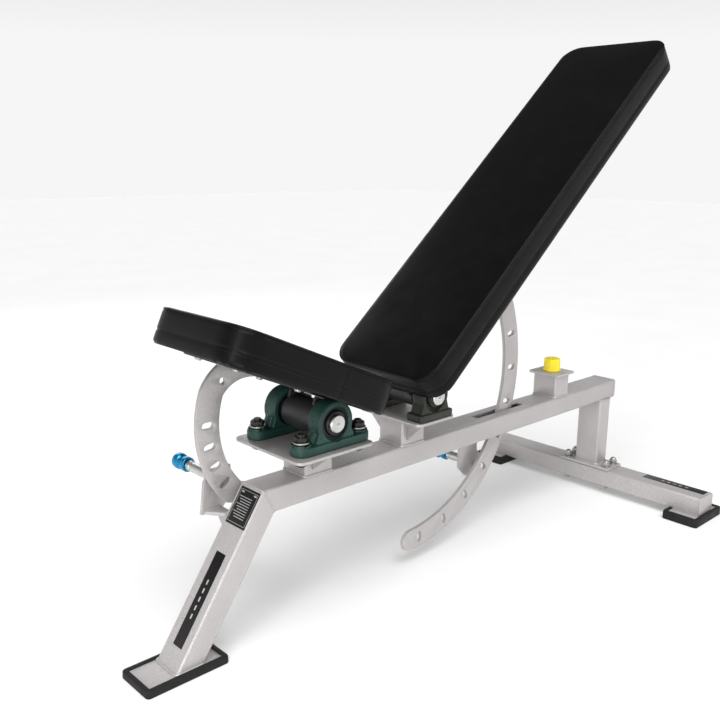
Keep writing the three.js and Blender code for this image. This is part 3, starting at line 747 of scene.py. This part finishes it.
def base_bolts():
    """Bolts through the base plate and the crossbar, with domed nuts on top."""
    top = base_plate_top + GAP
    low, high = crossbar_bottom - 4, top + 6
    dome = [(7.4 * math.cos(a), top + 9.2 + 7.4 * math.sin(a)) for a in steps_to(math.pi / 2, 8)]
    for number, (x, y) in enumerate(four(*BASE_BOLT), 1):
        bolt = joined(
            "bolt",
            lathe("shank", [(AXIS, low), (4.9, low), (4.9, high), (AXIS, high)]),
            hexagon("head", 16, crossbar_bottom - GAP - 7, crossbar_bottom - GAP),
            washer(10.5, 5.2, top),
            hexagon("nut", 16.5, top + 2, top + 9.6, 0.9),
            lathe("dome", [(AXIS, top + 8)] + dome),
        )
        placed(bolt, move(CROSSBAR_X + x, y, 0))
        name = f"base_bolt_{number}"
        piece(bolt, f"{name}_turned", FRAME, "frame", ZINC, [name])


# ---------------- pivot towers
def gusset(x, sign, root, toe, drop):
    """A triangle below a plate, on one side of a post."""
    corners = [(root, -drop), (root, 0), (toe, 0)]
    shape = plate("gusset", [(sign * y, z) for y, z in corners], PLATE, edge=0.5)
    return placed(shape, move(x, 0, PLATE_TOP - PLATE) @ ALONG_X)


def tower(name, post_x, plate_x, plate_half_length, half_width, gusset_x):
    height = PLATE_TOP - PLATE - SPINE_TOP - 2 * GAP
    post = placed(tube(TUBE_WIDTH, TUBE_WIDTH, height), move(post_x, 0, SPINE_TOP + GAP))
    silver(post, f"{name}_post")
    weld_ring(TUBE_WIDTH, TUBE_WIDTH - 1, 5, post_x, SPINE_TOP + 0.8, 2.2)
    weld_ring(TUBE_WIDTH, TUBE_WIDTH, 5, post_x, PLATE_TOP - PLATE - 0.8, 2.0)
    outline = rounded(2 * plate_half_length, 2 * half_width, 12, plate_x, 0)
    top = placed(plate("top", outline, PLATE, edge=0.7), move(0, 0, PLATE_TOP - PLATE))
    root = TUBE_WIDTH / 2 + GAP
    braces = [gusset(gusset_x, sign, root, half_width - 6, 38) for sign in (-1, 1)]
    silver(joined("plate", top, *braces), f"{name}_pivot_plate")
    for sign in (-1, 1):
        face = gusset_x + PLATE / 2
        slope = [(face, sign * (root + t), PLATE_TOP - PLATE - 1) for t in range(2, half_width - 38, 2)]
        weld(slope, 1.5, closed=False)


def arch(radius, foot_half, low):
    """A pillow block's arch: a round head on legs that spread to the foot."""
    lean = math.pi / 9
    return [(-foot_half, low), (foot_half, low), (foot_half, low + 10)] + arc(
        0, 0, radius, -lean, math.pi + lean, 40) + [(-foot_half, low + 10)]


def block_bore():
    """The cutter for a block's bore, flared at both faces."""
    return lathe("bore", mirrored([(AXIS, 30), (32, 30), (29, 15), (BEARING_RADIUS + GAP, 13)]))


def seat_block(side, sign):
    low = -BLOCK_HEIGHT + GAP
    base = plate("base", rounded(156, 38, 18.9), 15, edge=1.2)
    placed(base, move(0, 0, low))
    body = placed(plate("arch", arch(36.4, 43, low), 29, edge=1.5), move(0, 14.5, 0) @ UPRIGHT)
    rim = placed(lathe("rim", mirrored([(26, 15), (32, 15), (33.5, 13)])), ALONG_Y)
    parts = [base, body, rim]
    for i in (-1, 1):
        boss = lathe("boss", [(16, low + 10), (16, low + 19), (14.6, low + 20)])
        parts.append(placed(boss, move(i * BLOCK_BOLT_X, 0, 0)))
        rib = plate("rib", [(0, 0), (i * 17, 0), (0, 22)], 9, edge=1)
        parts.append(placed(rib, move(i * 34, 4.5, low + 14) @ UPRIGHT))
    body = cast(joined("casting", *parts))
    cut_out(body, placed(block_bore(), ALONG_Y))
    placed(body, move(0, sign * BLOCK_Y, 0))
    piece(body, f"seat_block_{side}_cast", SEAT_TOWER, "frame", GREEN,
          [f"seat_block_{side}"], sharp=40)


def back_block(side, sign):
    low = -BLOCK_HEIGHT + GAP
    base = placed(plate("base", rounded(84, 38, 4), 13.7, edge=1.2), move(0, 0, low))
    body = placed(plate("arch", arch(32.4, 37, low), 29, edge=1.5), move(0, 14.5, 0) @ UPRIGHT)
    body = cast(joined("casting", base, body))
    cut_out(body, placed(block_bore(), ALONG_Y))
    placed(body, move(0, sign * BLOCK_Y, 0))
    piece(body, f"back_block_{side}_cast", BACK_TOWER, "frame", OLIVE,
          [f"back_block_{side}"], sharp=40)


def bearing(name, place, side, sign):
    """The outer ring, with a pressed seal on each face that reaches in to the inner ring."""
    inner, outer = RING_RADIUS, BEARING_RADIUS
    profile = mirrored([(inner + 0.5, 9.5), (inner + 1.5, 10.2), (outer - 3, 9.6), (outer - 2, 11),
                        (outer - 0.4, 11), (outer, 10.6)])
    ring = placed(lathe("ring", profile, 64), move(0, sign * BLOCK_Y, 0) @ ALONG_Y)
    node = f"{name}_bearing_{side}"
    piece(ring, f"{node}_sealed", place, "frame", SEAL, [node])


def block_bolts():
    """The front blocks' bolts, each with a nut and a washer above and a head and a washer below."""
    foot_top = PLATE_TOP + GAP + 20
    under = PLATE_TOP - PLATE - GAP
    stud = [(AXIS, under - 14), (5.6, under - 14), (6.6, under - 13), (6.6, foot_top + 13),
            (5.8, foot_top + 14.6), (AXIS, foot_top + 14.6)]
    for number, (x, y) in enumerate(four(BLOCK_BOLT_X, BLOCK_Y), 1):
        bolt = joined(
            "bolt",
            lathe("stud", stud),
            hexagon("nut", 20.5, foot_top + 2.8, foot_top + 11),
            hexagon("head", 20.5, under - 11, under - 2.2),
        )
        washers = joined(
            "washers",
            washer(13.6, 7, foot_top + GAP, 2.5),
            washer(13, 7, under - 2.2, 2),
        )
        name = f"seat_block_bolt_{number}"
        for obj in (bolt, washers):
            placed(obj, move(SEAT_PIVOT_X + x, y, 0))
        piece(bolt, f"{name}_turned", FRAME, "frame", OXIDE, [name])
        piece(washers, f"{name}_washers", FRAME, "frame", ZINC)


def shaft(name, place, half_length):
    """A shaft with chamfered, centre-drilled ends and the bearings' inner rings locked on it."""
    end = [(AXIS, half_length - 3), (1.6, half_length - 2.2), (2.6, half_length), (13.6, half_length),
           (15, half_length - 1.6)]
    bar = placed(lathe("bar", mirrored(end), 64), ALONG_Y)
    piece(bar, f"{name}_shaft_turned", place, name, STEEL, [f"{name}_shaft"])
    parts = []
    for sign in (-1, 1):
        ring = mirrored([(SHAFT_RADIUS, 15), (RING_RADIUS - 0.8, 15), (RING_RADIUS, 14.2)])
        parts.append(placed(lathe("ring", ring, 64), move(0, sign * BLOCK_Y, 0) @ ALONG_Y))
        for turn in (20, 140):
            screw = lathe("screw", [(AXIS, -1.2), (1.4, -1.2), (1.4, 0.4), (2.6, 0.4), (2.8, 0.1),
                                    (2.8, -2), (AXIS, -2)], 24)
            lean = Matrix.Rotation(math.radians(turn), 4, "Y")
            parts.append(placed(screw, move(0, sign * (BLOCK_Y + 12.6), 0) @ lean @ move(0, 0, 20)))
    rings = joined("rings", *parts)
    piece(rings, f"{name}_shaft_inner_rings", place, name, SEAL)


def towers():
    tower("seat", SEAT_PIVOT_X, 330, 80, 88, 322)
    tower("back", 564, 575, 49, 78, 546)
    for side, sign in SIDES:
        seat_block(side, sign)
        back_block(side, sign)
        bearing("seat", SEAT_TOWER, side, sign)
        bearing("back", BACK_TOWER, side, sign)
    block_bolts()
    shaft("seat", SEAT, 77)
    shaft("back", BACK, 80)


# ---------------- stop
def stop():
    under = PLATE_TOP - PLATE
    post = placed(tube(50, TUBE_WIDTH, under - SPINE_TOP - GAP), move(STOP_X, 0, SPINE_TOP + GAP))
    top = placed(plate("top", rounded(66, 74, 3, STOP_X, 0), PLATE, edge=0.7), move(0, 0, under))
    whole = joined("stop", post, top)
    silver(whole, "stop_post")
    weld_ring(50, TUBE_WIDTH - 1, 5, STOP_X, SPINE_TOP + 0.8, 2.2)
    weld_ring(50, TUBE_WIDTH, 5, STOP_X, under - 0.8, 1.8)
    height = PIVOT_Z + RAIL_BOTTOM - GAP - PLATE_TOP - GAP
    profile = [(AXIS, 0), (18, 0), (19, 1), (19, 3.5), (17.6, 5), (17.6, height - 3), (16.8, height - 1),
               (15, height - 0.1), (6, height), (5, height - 2.5), (AXIS, height - 2.5)]
    bumper = placed(lathe("bumper", profile, 64), move(STOP_X, 0, PLATE_TOP + GAP))
    piece(bumper, "stop_bumper_moulded", FRAME, "frame", YELLOW, ["stop_bumper"])


# ---------------- arcs
def slot(radius, angle):
    return turned(rounded(22, 11, 5.49, radius, 0, 10), angle)


def band(radius, width, start, end):
    """An arc's outline about the pivot, ending round at its far end."""
    inner, outer = radius - width / 2, radius + width / 2
    turn = 1 if end > start else -1
    tip = (radius * math.cos(end), radius * math.sin(end))
    return (
        arc(0, 0, outer, start, end, 60)
        + arc(*tip, width / 2, end, end + turn * math.pi, 18)[1:]
        + arc(0, 0, inner, end, start, 60)[1:]
    )


def seat_arc():
    a = SEAT_ARC
    top = SEAT_PAD["bottom"] - 6 - 2 * GAP
    inner, outer = a["radius"] - a["width"] / 2, a["radius"] + a["width"] / 2
    end = a["pin"] + 2 * a["step"] + math.radians(7)
    outline = band(a["radius"], a["width"], math.pi + 0.08, end)
    flare_in = (-inner + 48, top)
    flare_out = (-outer + 17, top)
    outline += curve_points(outline[-1], (-inner + 10, top * 0.7), flare_in)
    outline += [flare_out] + curve_points(flare_out, (-outer + 2, top / 3), outline[0])[:-1]
    holes = [slot(a["radius"], a["pin"] + k * a["step"]) for k in (-1, 0, 1, 2)]
    holes.append(circle(5.5, -a["radius"] + 12, 10))
    blade = plate("arc", outline, ARC_THICKNESS, holes, edge=0.9)
    placed(blade, move(0, a["y"] + ARC_THICKNESS / 2, 0) @ UPRIGHT)
    silver(blade, "seat_arc", SEAT, "seat", "cut")


def back_arc():
    a = BACK_ARC
    end = a["pin"] - 6 * a["step"] - math.radians(4.5)
    start = math.asin((RAIL_BOTTOM - GAP) / (a["radius"] + a["width"] / 2))
    outline = band(a["radius"], a["width"], start, end)
    inner = a["radius"] - a["width"] / 2
    low = RAIL_BOTTOM - GAP
    outline = [p for p in outline if p[1] <= low + 1e-6] + [(math.sqrt(inner**2 - low**2), low)]
    holes = [slot(a["radius"], a["pin"] - k * a["step"]) for k in range(-1, 7)]
    blade = plate("arc", outline, ARC_THICKNESS, holes, edge=0.9)
    placed(blade, move(0, ARC_THICKNESS / 2, 0) @ UPRIGHT)
    silver(blade, "back_arc", BACK, "back", "cut")


# ---------------- pull-pins
def pin_place(pivot_x, a):
    x = pivot_x + a["radius"] * math.cos(a["pin"])
    return x, PIVOT_Z + a["radius"] * math.sin(a["pin"])


SEAT_PIN = {"at": pin_place(SEAT_PIVOT_X, SEAT_ARC), "arc_face": 44, "bracket": 60, "end": 144}
BACK_PIN = {"at": pin_place(BACK_PIVOT_X, BACK_ARC), "arc_face": 4, "bracket": 20, "end": 92}


def seat_pin_bracket():
    y0, thick = SEAT_PIN["bracket"], 6
    outer, inner = y0 + thick, TUBE_WIDTH / 2 + GAP
    front, rear, top, under = 166, 204, 215, 209
    leg_front = LEG_FOOT_X + (top - front_plate_top) / math.tan(LEG_ANGLE)
    x, z = SEAT_PIN["at"]
    face = [(front, under), (rear, under), (224, 232), (224, 282), (184, 282), (172, 262)]
    parts = [
        placed(plate("face", face, thick, [circle(5.2, x, z)]), move(0, outer, 0) @ UPRIGHT),
        placed(plate("shelf", [(front, outer), (rear, outer), (rear, inner), (leg_front, inner)], thick),
               move(0, 0, under)),
        placed(plate("gusset", [(inner, under - 38), (outer - 4, under), (inner, under)], PLATE),
               move(leg_front + 2, 0, 0) @ ALONG_X),
    ]
    silver(joined("bracket", *parts), "seat_pin_bracket")
    weld([(front + 3 + t, y0 - 0.6, top + 0.4) for t in range(0, 34, 2)], 1.7, closed=False)
    weld([(leg_front + t, inner + 0.3, top + 0.2) for t in range(1, 13, 2)], 1.7, closed=False)


def back_pin_bracket():
    x, z = BACK_PIN["at"]
    top, bottom = SPINE_TOP - TUBE_DEPTH - GAP, z - 22
    face = [(x - 48, top), (x - 48, bottom + 22), (x - 26, bottom), (x + 12, bottom), (x + 22, bottom + 12),
            (x + 22, z + 14), (x + 7, z + 28), (x + 7, top)]
    shape = plate("face", face, 6, [circle(5.2, x, z)])
    placed(shape, move(0, BACK_PIN["bracket"] + 6, 0) @ UPRIGHT)
    silver(shape, "back_pin_bracket")
    weld([(x - 46 + t, BACK_PIN["bracket"] + 6.4, top + 0.2) for t in range(0, 52, 2)], 1.7, closed=False)


def on_pin(pin, y=0):
    """Where a part turned about Z goes, on a pull-pin's axis."""
    x, z = pin["at"]
    return move(x, y, z) @ ALONG_Y


def barrel(name, pin):
    """A barrel with a turned groove near its end."""
    start, end = pin["bracket"] + 6 + GAP, pin["end"]
    outside = [(6.9, start), (8.6, start), (9, start + 0.5), (9, end - 14), (8.2, end - 13.4),
               (8.2, end - 11), (9, end - 10.4), (9, end - 1), (8.2, end), (4.4, end), (4.4, end - 5),
               (6.9, end - 5)]
    body = placed(lathe("barrel", outside), on_pin(pin))
    piece(body, f"{name}_barrel_turned", FRAME, "frame", STEEL, [f"{name}_barrel"])
    x, z = pin["at"]
    ring = [(x + px, start - 0.2, z + pz) for px, pz in circle(9, steps=40)]
    weld(ring, 1.2)


def plunger(name, pin):
    tip, end = pin["arc_face"] + 0.8, pin["end"]
    collar = end - 5 - 20 - 2.5 - 2 * GAP
    profile = [(AXIS, tip), (3.4, tip), (4.8, tip + 2.4), (4.8, collar), (6.4, collar),
               (6.4, collar + 2.5), (4, collar + 2.5), (4, end + 24), (AXIS, end + 24)]
    body = placed(lathe("plunger", profile), on_pin(pin))
    piece(body, f"{name}_plunger_turned", FRAME, name, STEEL, [f"{name}_plunger"])


def knob(name, pin):
    """A turned spool: a round head, a waist and a collar whose skirt covers the barrel's end."""
    outside = [(12, 0), (12.6, 0.6), (12.8, 1.5), (12.8, 9), (12.5, 10), (11.6, 11)]
    outside += [(11.6 - 1.4 * math.sin(math.pi * t / 8), 11 + t) for t in range(1, 9)]
    outside += [(11.9, 19.6), (13.2, 21), (13.7, 22.6), (13.8, 24), (13.8, 29.6), (13.5, 31.6),
                (12.7, 33.6), (11.3, 35.3), (9.2, 36.5), (6, 37), (3.6, 37), (3.2, 36.2), (AXIS, 36.2)]
    inside = [(AXIS, 25), (4.3, 25), (4.3, 15), (9.5, 15), (9.5, 0)]
    body = lathe("knob", inside + outside, 64)
    placed(body, on_pin(pin, pin["end"] + 1))
    piece(body, f"{name}_knob_turned", FRAME, name, BLUE, [f"{name}_knob"], sharp=40)


def pull_pins():
    seat_pin_bracket()
    back_pin_bracket()
    for name, pin in (("seat_pin", SEAT_PIN), ("back_pin", BACK_PIN)):
        barrel(name, pin)
        plunger(name, pin)
        knob(name, pin)
        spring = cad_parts[f"{name}_spring"]
        spring.data.materials.clear()
        spring.data.materials.append(STEEL)


# ---------------- tilting parts' steelwork
def sleeve(name, place, radius, cheek_top, cheek_half):
    bore = SHAFT_RADIUS + GAP
    pipe = mirrored([(bore, 35), (radius - 0.8, 35), (radius, 34.2)])
    parts = [placed(lathe("pipe", pipe, 64), ALONG_Y)]
    for sign in (-1, 1):
        cheek = plate("cheek", rounded(2 * cheek_half, cheek_top - 16, 2, 0, (cheek_top + 16) / 2), 6)
        parts.append(placed(cheek, move(0, sign * 32 + 3, 0) @ UPRIGHT))
    black(joined("sleeve", *parts), f"{name}_sleeve", place, name)


def screw(x, y, z):
    """A button-head screw under a plate, its head down."""
    profile = [(AXIS, -0.8), (1.9, -0.8), (1.9, -3.1), (3, -3.1), (4.6, -2.6), (5.6, -1.4), (5.8, 0),
               (AXIS, 0)]
    return placed(lathe("screw", profile, 32), move(x, y, z))


def seat_steel():
    top = SEAT_PAD["bottom"] - GAP
    under = top - 6
    half = [(50, 34), (-62, 34), (-62, 62), (-225, 62)]
    outline = half + [(x, -y) for x, y in reversed(half)]
    mount = placed(plate("mount", outline, 6, edge=0.8), move(0, 0, under))
    black(mount, "seat_mount_plate", SEAT, "seat")
    sleeve("seat", SEAT, 28, under - GAP, 24)
    spots = [(-205, -50), (-205, 50), (-80, -50), (-80, 50)]
    screws = joined("screws", *[screw(x, y, under) for x, y in spots])
    piece(screws, "seat_board_screws", SEAT, "seat", ZINC)


def back_steel():
    top = BACK_PAD["bottom"] - GAP
    under = top - PLATE
    rail_top = under - GAP
    rail = placed(tube(40, rail_top - RAIL_BOTTOM, 748), ALONG_X)
    placed(rail, move(32, 0, (rail_top + RAIL_BOTTOM) / 2))
    black(rail, "back_rail", BACK, "back")
    for name, x in (("lower", 110), ("upper", 690)):
        mount = placed(plate("mount", rounded(80, 170, 8, x, 0), PLATE, edge=0.8), move(0, 0, under))
        black(mount, f"back_mount_plate_{name}", BACK, "back")
        spots = [(x - 26, -70), (x - 26, 70), (x + 26, -70), (x + 26, 70)]
        screws = joined("screws", *[screw(sx, sy, under) for sx, sy in spots])
        piece(screws, f"back_board_screws_{name}", BACK, "back", ZINC)
    sleeve("back", BACK, 27, rail_top - 2, 22)


# ---------------- upholstery
def pad_outline(pad, out, corner, steps):
    """A pad's outline, moved outward, with corners of a given radius."""
    length, x = pad["x1"] - pad["x0"], (pad["x0"] + pad["x1"]) / 2
    return rounded(length + 2 * out, PAD_WIDTH + 2 * out, corner, x, 0, steps)


def cushion_shape(pad):
    """A boxed cushion in metres, level, with a tight upper edge and a rim that hangs round the board."""
    steps = [  # how far each ring is from the pad's outline, and its height above the board's underside
        (0.5 - PAD_MARGIN, 4), (0.5 - PAD_MARGIN, 2 - PAD_RIM), (-6.5, -PAD_RIM), (-4, -PAD_RIM),
        (-1, 1.5 - PAD_RIM), (0, 4 - PAD_RIM), (0, 12), (0, 18), (0, PAD_THICKNESS - 5),
        (-1, PAD_THICKNESS - 2), (-3, PAD_THICKNESS - 0.4), (-6, PAD_THICKNESS),
    ]
    rings = []
    for out, z in steps:
        outline = pad_outline(pad, out, pad["corner"] + out, 16)
        rings.append([(px * MM, py * MM, (pad["bottom"] + z) * MM) for px, py in outline])
    return loft("cushion", rings)


def side_distance(x, y, pad):
    """How far a level point is inside a pad's outline, in millimetres."""
    cx, half_x, half_y = (pad["x0"] + pad["x1"]) / 2, (pad["x1"] - pad["x0"]) / 2, PAD_WIDTH / 2
    corner = pad["corner"]
    dx, dy = abs(x - cx) - (half_x - corner), abs(y) - (half_y - corner)
    outside = math.hypot(max(dx, 0), max(dy, 0)) + min(max(dx, dy), 0)
    return corner - outside


def puff(obj, pad):
    """Blows the cover up a little between its seams, which stay where they are."""
    seams = [PAD_THICKNESS - 3, SEAM_HEIGHT]
    held = obj.vertex_groups.new(name="held")
    for v in obj.data.vertices:
        x, y, z = v.co / MM
        height = z - pad["bottom"]
        inside = side_distance(x, y, pad)
        on_seam = inside < 6 and any(abs(height - s) < 2.8 for s in seams)
        under = height < 5 and inside > 5 or height < 2 - PAD_RIM
        if under or on_seam:
            held.add([v.index], 1.0, "REPLACE")
    before = [v.co.copy() for v in obj.data.vertices]
    cloth = obj.modifiers.new("puff", "CLOTH")
    cloth.settings.quality = 6
    cloth.settings.mass = 0.4
    cloth.settings.tension_stiffness = cloth.settings.compression_stiffness = 18
    cloth.settings.use_pressure = True
    cloth.settings.uniform_pressure_force = 4
    cloth.settings.vertex_group_mass = "held"
    cloth.settings.effector_weights.gravity = 0
    cloth.point_cache.frame_start, cloth.point_cache.frame_end = 1, CLOTH_FRAMES
    for step in range(1, CLOTH_FRAMES + 1):
        bpy.context.scene.frame_set(step)
    applied(obj)
    bpy.context.scene.frame_set(1)
    for v, old in zip(obj.data.vertices, before):
        moved = v.co - old
        on_top = old.z / MM > pad["bottom"] + PAD_THICKNESS - 2
        cap = (TOP_SWELL if on_top else SIDE_SWELL) * MM
        far = moved.length
        if far > 1e-9:
            v.co = old + moved * (cap * math.tanh(far / cap) / far)
    obj.vertex_groups.clear()


def cushion(pad):
    obj = cushion_shape(pad)
    remesh = obj.modifiers.new("even", "REMESH")
    remesh.mode, remesh.voxel_size = "VOXEL", CUSHION_VOXEL * MM
    applied(obj)
    puff(obj, pad)
    smooth = obj.modifiers.new("fine", "SUBSURF")
    smooth.levels = smooth.render_levels = 1
    applied(obj)
    top_seam = PAD_THICKNESS - 4.2
    normals = [v.normal.copy() for v in obj.data.vertices]
    for v, normal in zip(obj.data.vertices, normals):
        x, y, z = v.co / MM
        inside = side_distance(x, y, pad)
        height = z - pad["bottom"]
        for seam, depth in ((SEAM_HEIGHT, 1.1), (top_seam, 0.8)):
            if inside < 8 and abs(height - seam) < 2 * SEAM_RADIUS:
                pull = depth * math.exp(-((height - seam) / SEAM_RADIUS) ** 2)
                v.co -= Vector((normal.x, normal.y, 0)) * pull * MM
        if "join" in pad and inside < 5 and abs(x - pad["join"]) < 2 * SEAM_RADIUS and abs(normal.y) > 0.7:
            v.co.y -= math.copysign(0.9 * math.exp(-((x - pad["join"]) / SEAM_RADIUS) ** 2), y) * MM
    return obj


def side_path(pad, tree, height, spacing):
    """Points round the cushion's side at a height, on its surface, with their directions outward."""
    outline = pad_outline(pad, 0, pad["corner"], 24)
    found = []
    for p, along in evenly([(px, py, 0) for px, py in outline], spacing):
        out = Vector((along.y, -along.x, 0))
        start = (Vector((p.x, p.y, pad["bottom"] + height)) + out * 25) * MM
        hit, normal, _, _ = tree.ray_cast(start, -out, 60 * MM)
        if hit is not None:
            found.append((hit / MM, along, normal))
    return found


def stitches(name, spots, place, body, length=3.0, radius=0.42):
    """A row of thread stitches, each a short rounded strand along the seam."""
    bm = bmesh.new()
    profile = [(-0.5, 0.25), (-0.35, 0.85), (0, 1), (0.35, 0.85), (0.5, 0.25)]
    for p, along, normal in spots:
        side = along.cross(normal).normalized()
        centre = p + normal * radius * 0.5
        angles = [math.pi * k / 3 for k in range(6)]
        outward = [side * math.cos(a) + normal * math.sin(a) for a in angles]
        skin(bm, [[centre + along * t * length + out * r * radius for out in outward] for t, r in profile])
    bmesh.ops.recalc_face_normals(bm, faces=bm.faces)
    piece(finished(name, bm), name, place, body, THREAD, sharp=80)


def upholstery(name, pad, place):
    obj = cushion(pad)
    bpy.context.view_layer.update()
    tree = BVHTree.FromObject(obj, bpy.context.evaluated_depsgraph_get())
    rows = [
        ("upper_stitches", PAD_THICKNESS - 6.4),
        ("band_stitches_upper", SEAM_HEIGHT + 3.2),
        ("band_stitches_lower", SEAM_HEIGHT - 3.2),
    ]
    for row, height in rows:
        stitches(f"{name}_{row}", side_path(pad, tree, height, 4.4), place, name)
    if "join" in pad:
        spots = []
        for side in (-1, 1):
            for x in (pad["join"] - 3, pad["join"] + 3):
                for step in range(11):
                    height = PAD_THICKNESS - 9 - 4.4 * step
                    start = Vector((x, side * (PAD_WIDTH / 2 + 25), pad["bottom"] + height)) * MM
                    hit, normal, _, _ = tree.ray_cast(start, Vector((0, -side, 0)), 60 * MM)
                    spots.append((hit / MM, Vector((0, 0, 1)), normal))
        stitches(f"{name}_join_stitches", spots, place, name)
    welt = [p + n * 0.2 for p, _, n in side_path(pad, tree, PAD_THICKNESS - 3.4, 5)]
    cord = line("welt", welt, 1.9, steps=3)
    piece(cord, f"{name}_welt", place, name, LEATHER, sharp=80)
    placed(obj, place)
    settled(obj, f"{name}_cushion", name, LEATHER, [f"{name}_pad"], sharp=80)
    board_outline = pad_outline(pad, -PAD_MARGIN - GAP, pad["corner"] - PAD_MARGIN, 8)
    board = plate("board", board_outline, 11.6, edge=0.6)
    placed(board, move(0, 0, pad["bottom"]))
    piece(board, f"{name}_board_finished", place, name, WOOD, [f"{name}_board"])


# ---------------- labels
def label(name, place, length, width, rules):
    """A thin generic label lying in the XY plane, with plain printed rules and no lettering."""
    film = placed(plate("film", rounded(length, width, 1.2), 0.35, edge=0.1), place)
    piece(film, name, FRAME, "frame", LABEL)
    bars = []
    for x, y, w, h in rules:
        outline = rounded(w, h, min(w, h) * 0.3, x, y, 3)
        bars.append(placed(plate("bar", outline, 0.12, edge=0.03), place @ move(0, 0, 0.33)))
    piece(joined("print", *bars), f"{name}_print", FRAME, "frame", PRINT)


def labels(leg_place):
    frame_rules = [(0, 22 * s, 54, 0.6) for s in (-1, 1)] + [(27 * s, 0, 0.6, 44) for s in (-1, 1)]
    rows = [(16 - 4.2 * k, 3 - 1.5 * (k % 3), 1.1, 32 - 3 * (k % 3)) for k in range(9)]
    corner_marks = [(23.5, y, 2.6, 7) for y in (-16, 16)]
    label("leg_data_label", leg_place @ move(266.5, -2.5, 0), 62, 50, frame_rules + rows + corner_marks)
    dashes = [(14 * k, 0, 8, 3.2) for k in (-2, -1, 0, 1, 2)]
    label("leg_strip", leg_place @ move(113, -2, 0), 154, 24, dashes)
    bar_top = move(CROSSBAR_X + 13, -210.5, crossbar_top) @ Matrix.Rotation(math.pi / 2, 4, "Z")
    label("crossbar_strip", bar_top, 146, 24, dashes)


# ---------------- the bench
feet()
leg_place = spine_and_leg()
rear_frame()
base_bolts()
towers()
stop()
seat_arc()
back_arc()
pull_pins()
seat_steel()
back_steel()
labels(leg_place)
upholstery("seat", SEAT_PAD, SEAT)
upholstery("back", BACK_PAD, BACK)
piece(joined("beads", *beads), "weld_beads", FRAME, "frame", SILVER, sharp=80)


# ---------------- camera, floor and light
def camera():
    data = bpy.data.cameras.new("camera")
    data.lens = 42.6
    data.clip_start, data.clip_end = 0.05, 50
    obj = new_object("camera", data)
    place, target = Vector((-1.166, -1.043, 0.774)), Vector((-0.1675, 0.0206, 0.4247))
    roll = Matrix.Rotation(math.radians(0.46), 4, "Z")
    turn = (target - place).to_track_quat("-Z", "Y").to_matrix().to_4x4()
    obj.matrix_world = Matrix.Translation(place) @ turn @ roll
    bpy.context.scene.camera = obj


def floor():
    half = 14
    corners = [(-half, -half, 0), (half, -half, 0), (half, half, 0), (-half, half, 0)]
    mesh = bpy.data.meshes.new("floor")
    mesh.from_pydata(corners, [], [(0, 1, 2, 3)])
    obj = new_object("floor", mesh)
    look = Look("floor", (0.76, 0.76, 0.76), 0.8, Emission_Color=(1, 1, 1, 1), Emission_Strength=0.16)
    look.patches((3, 3), 0.4, 0.7, (0.74, 0.74, 0.74))
    obj.data.materials.append(look.material)


def surroundings():
    """White walls under a darker ceiling."""
    world = bpy.data.worlds.new("studio")
    bpy.context.scene.world = world
    world.use_nodes = True
    nodes, links = world.node_tree.nodes, world.node_tree.links
    direction = nodes.new("ShaderNodeTexCoord")
    parts = nodes.new("ShaderNodeSeparateXYZ")
    shade = nodes.new("ShaderNodeValToRGB")
    wall, ceiling = shade.color_ramp.elements
    wall.position, wall.color = 0.12, (0.92, 0.92, 0.92, 1)
    ceiling.position, ceiling.color = 0.6, (0.16, 0.16, 0.16, 1)
    links.new(direction.outputs["Generated"], parts.inputs["Vector"])
    links.new(parts.outputs["Z"], shade.inputs["Fac"])
    links.new(shade.outputs["Color"], nodes["Background"].inputs["Color"])


def lights():
    softboxes = [  # place, aim, width, height, watts
        ((-2.4, -0.9, 1.5), (0, 0, 0.4), 0.45, 1.8, 14),
        ((-1.5, -1.0, 0.24), (-0.5, -0.1, 0.45), 0.22, 0.4, 4.5),
        ((1.4, -2.6, 1.7), (0, 0, 0.4), 0.7, 1.6, 10),
        ((0.5, 2.8, 1.6), (0, 0, 0.4), 1.6, 1.0, 10),
    ]
    for i, (place, aim, width, height, watts) in enumerate(softboxes):
        light = bpy.data.lights.new(f"softbox_{i}", "AREA")
        light.shape, light.size, light.size_y, light.energy = "RECTANGLE", width, height, watts
        obj = new_object(f"softbox_{i}", light)
        obj.location = place
        obj.rotation_mode = "QUATERNION"
        obj.rotation_quaternion = (Vector(aim) - Vector(place)).to_track_quat("-Z", "Y")
        obj.visible_camera = False
    overhead = bpy.data.lights.new("overhead", "SUN")
    overhead.energy, overhead.angle = 2.7, math.radians(50)
    lamp = new_object("overhead", overhead)
    lamp.rotation_euler = (math.radians(20), math.radians(-14), 0)


camera()
floor()
surroundings()
lights()
bpy.context.scene.view_settings.view_transform = "Standard"
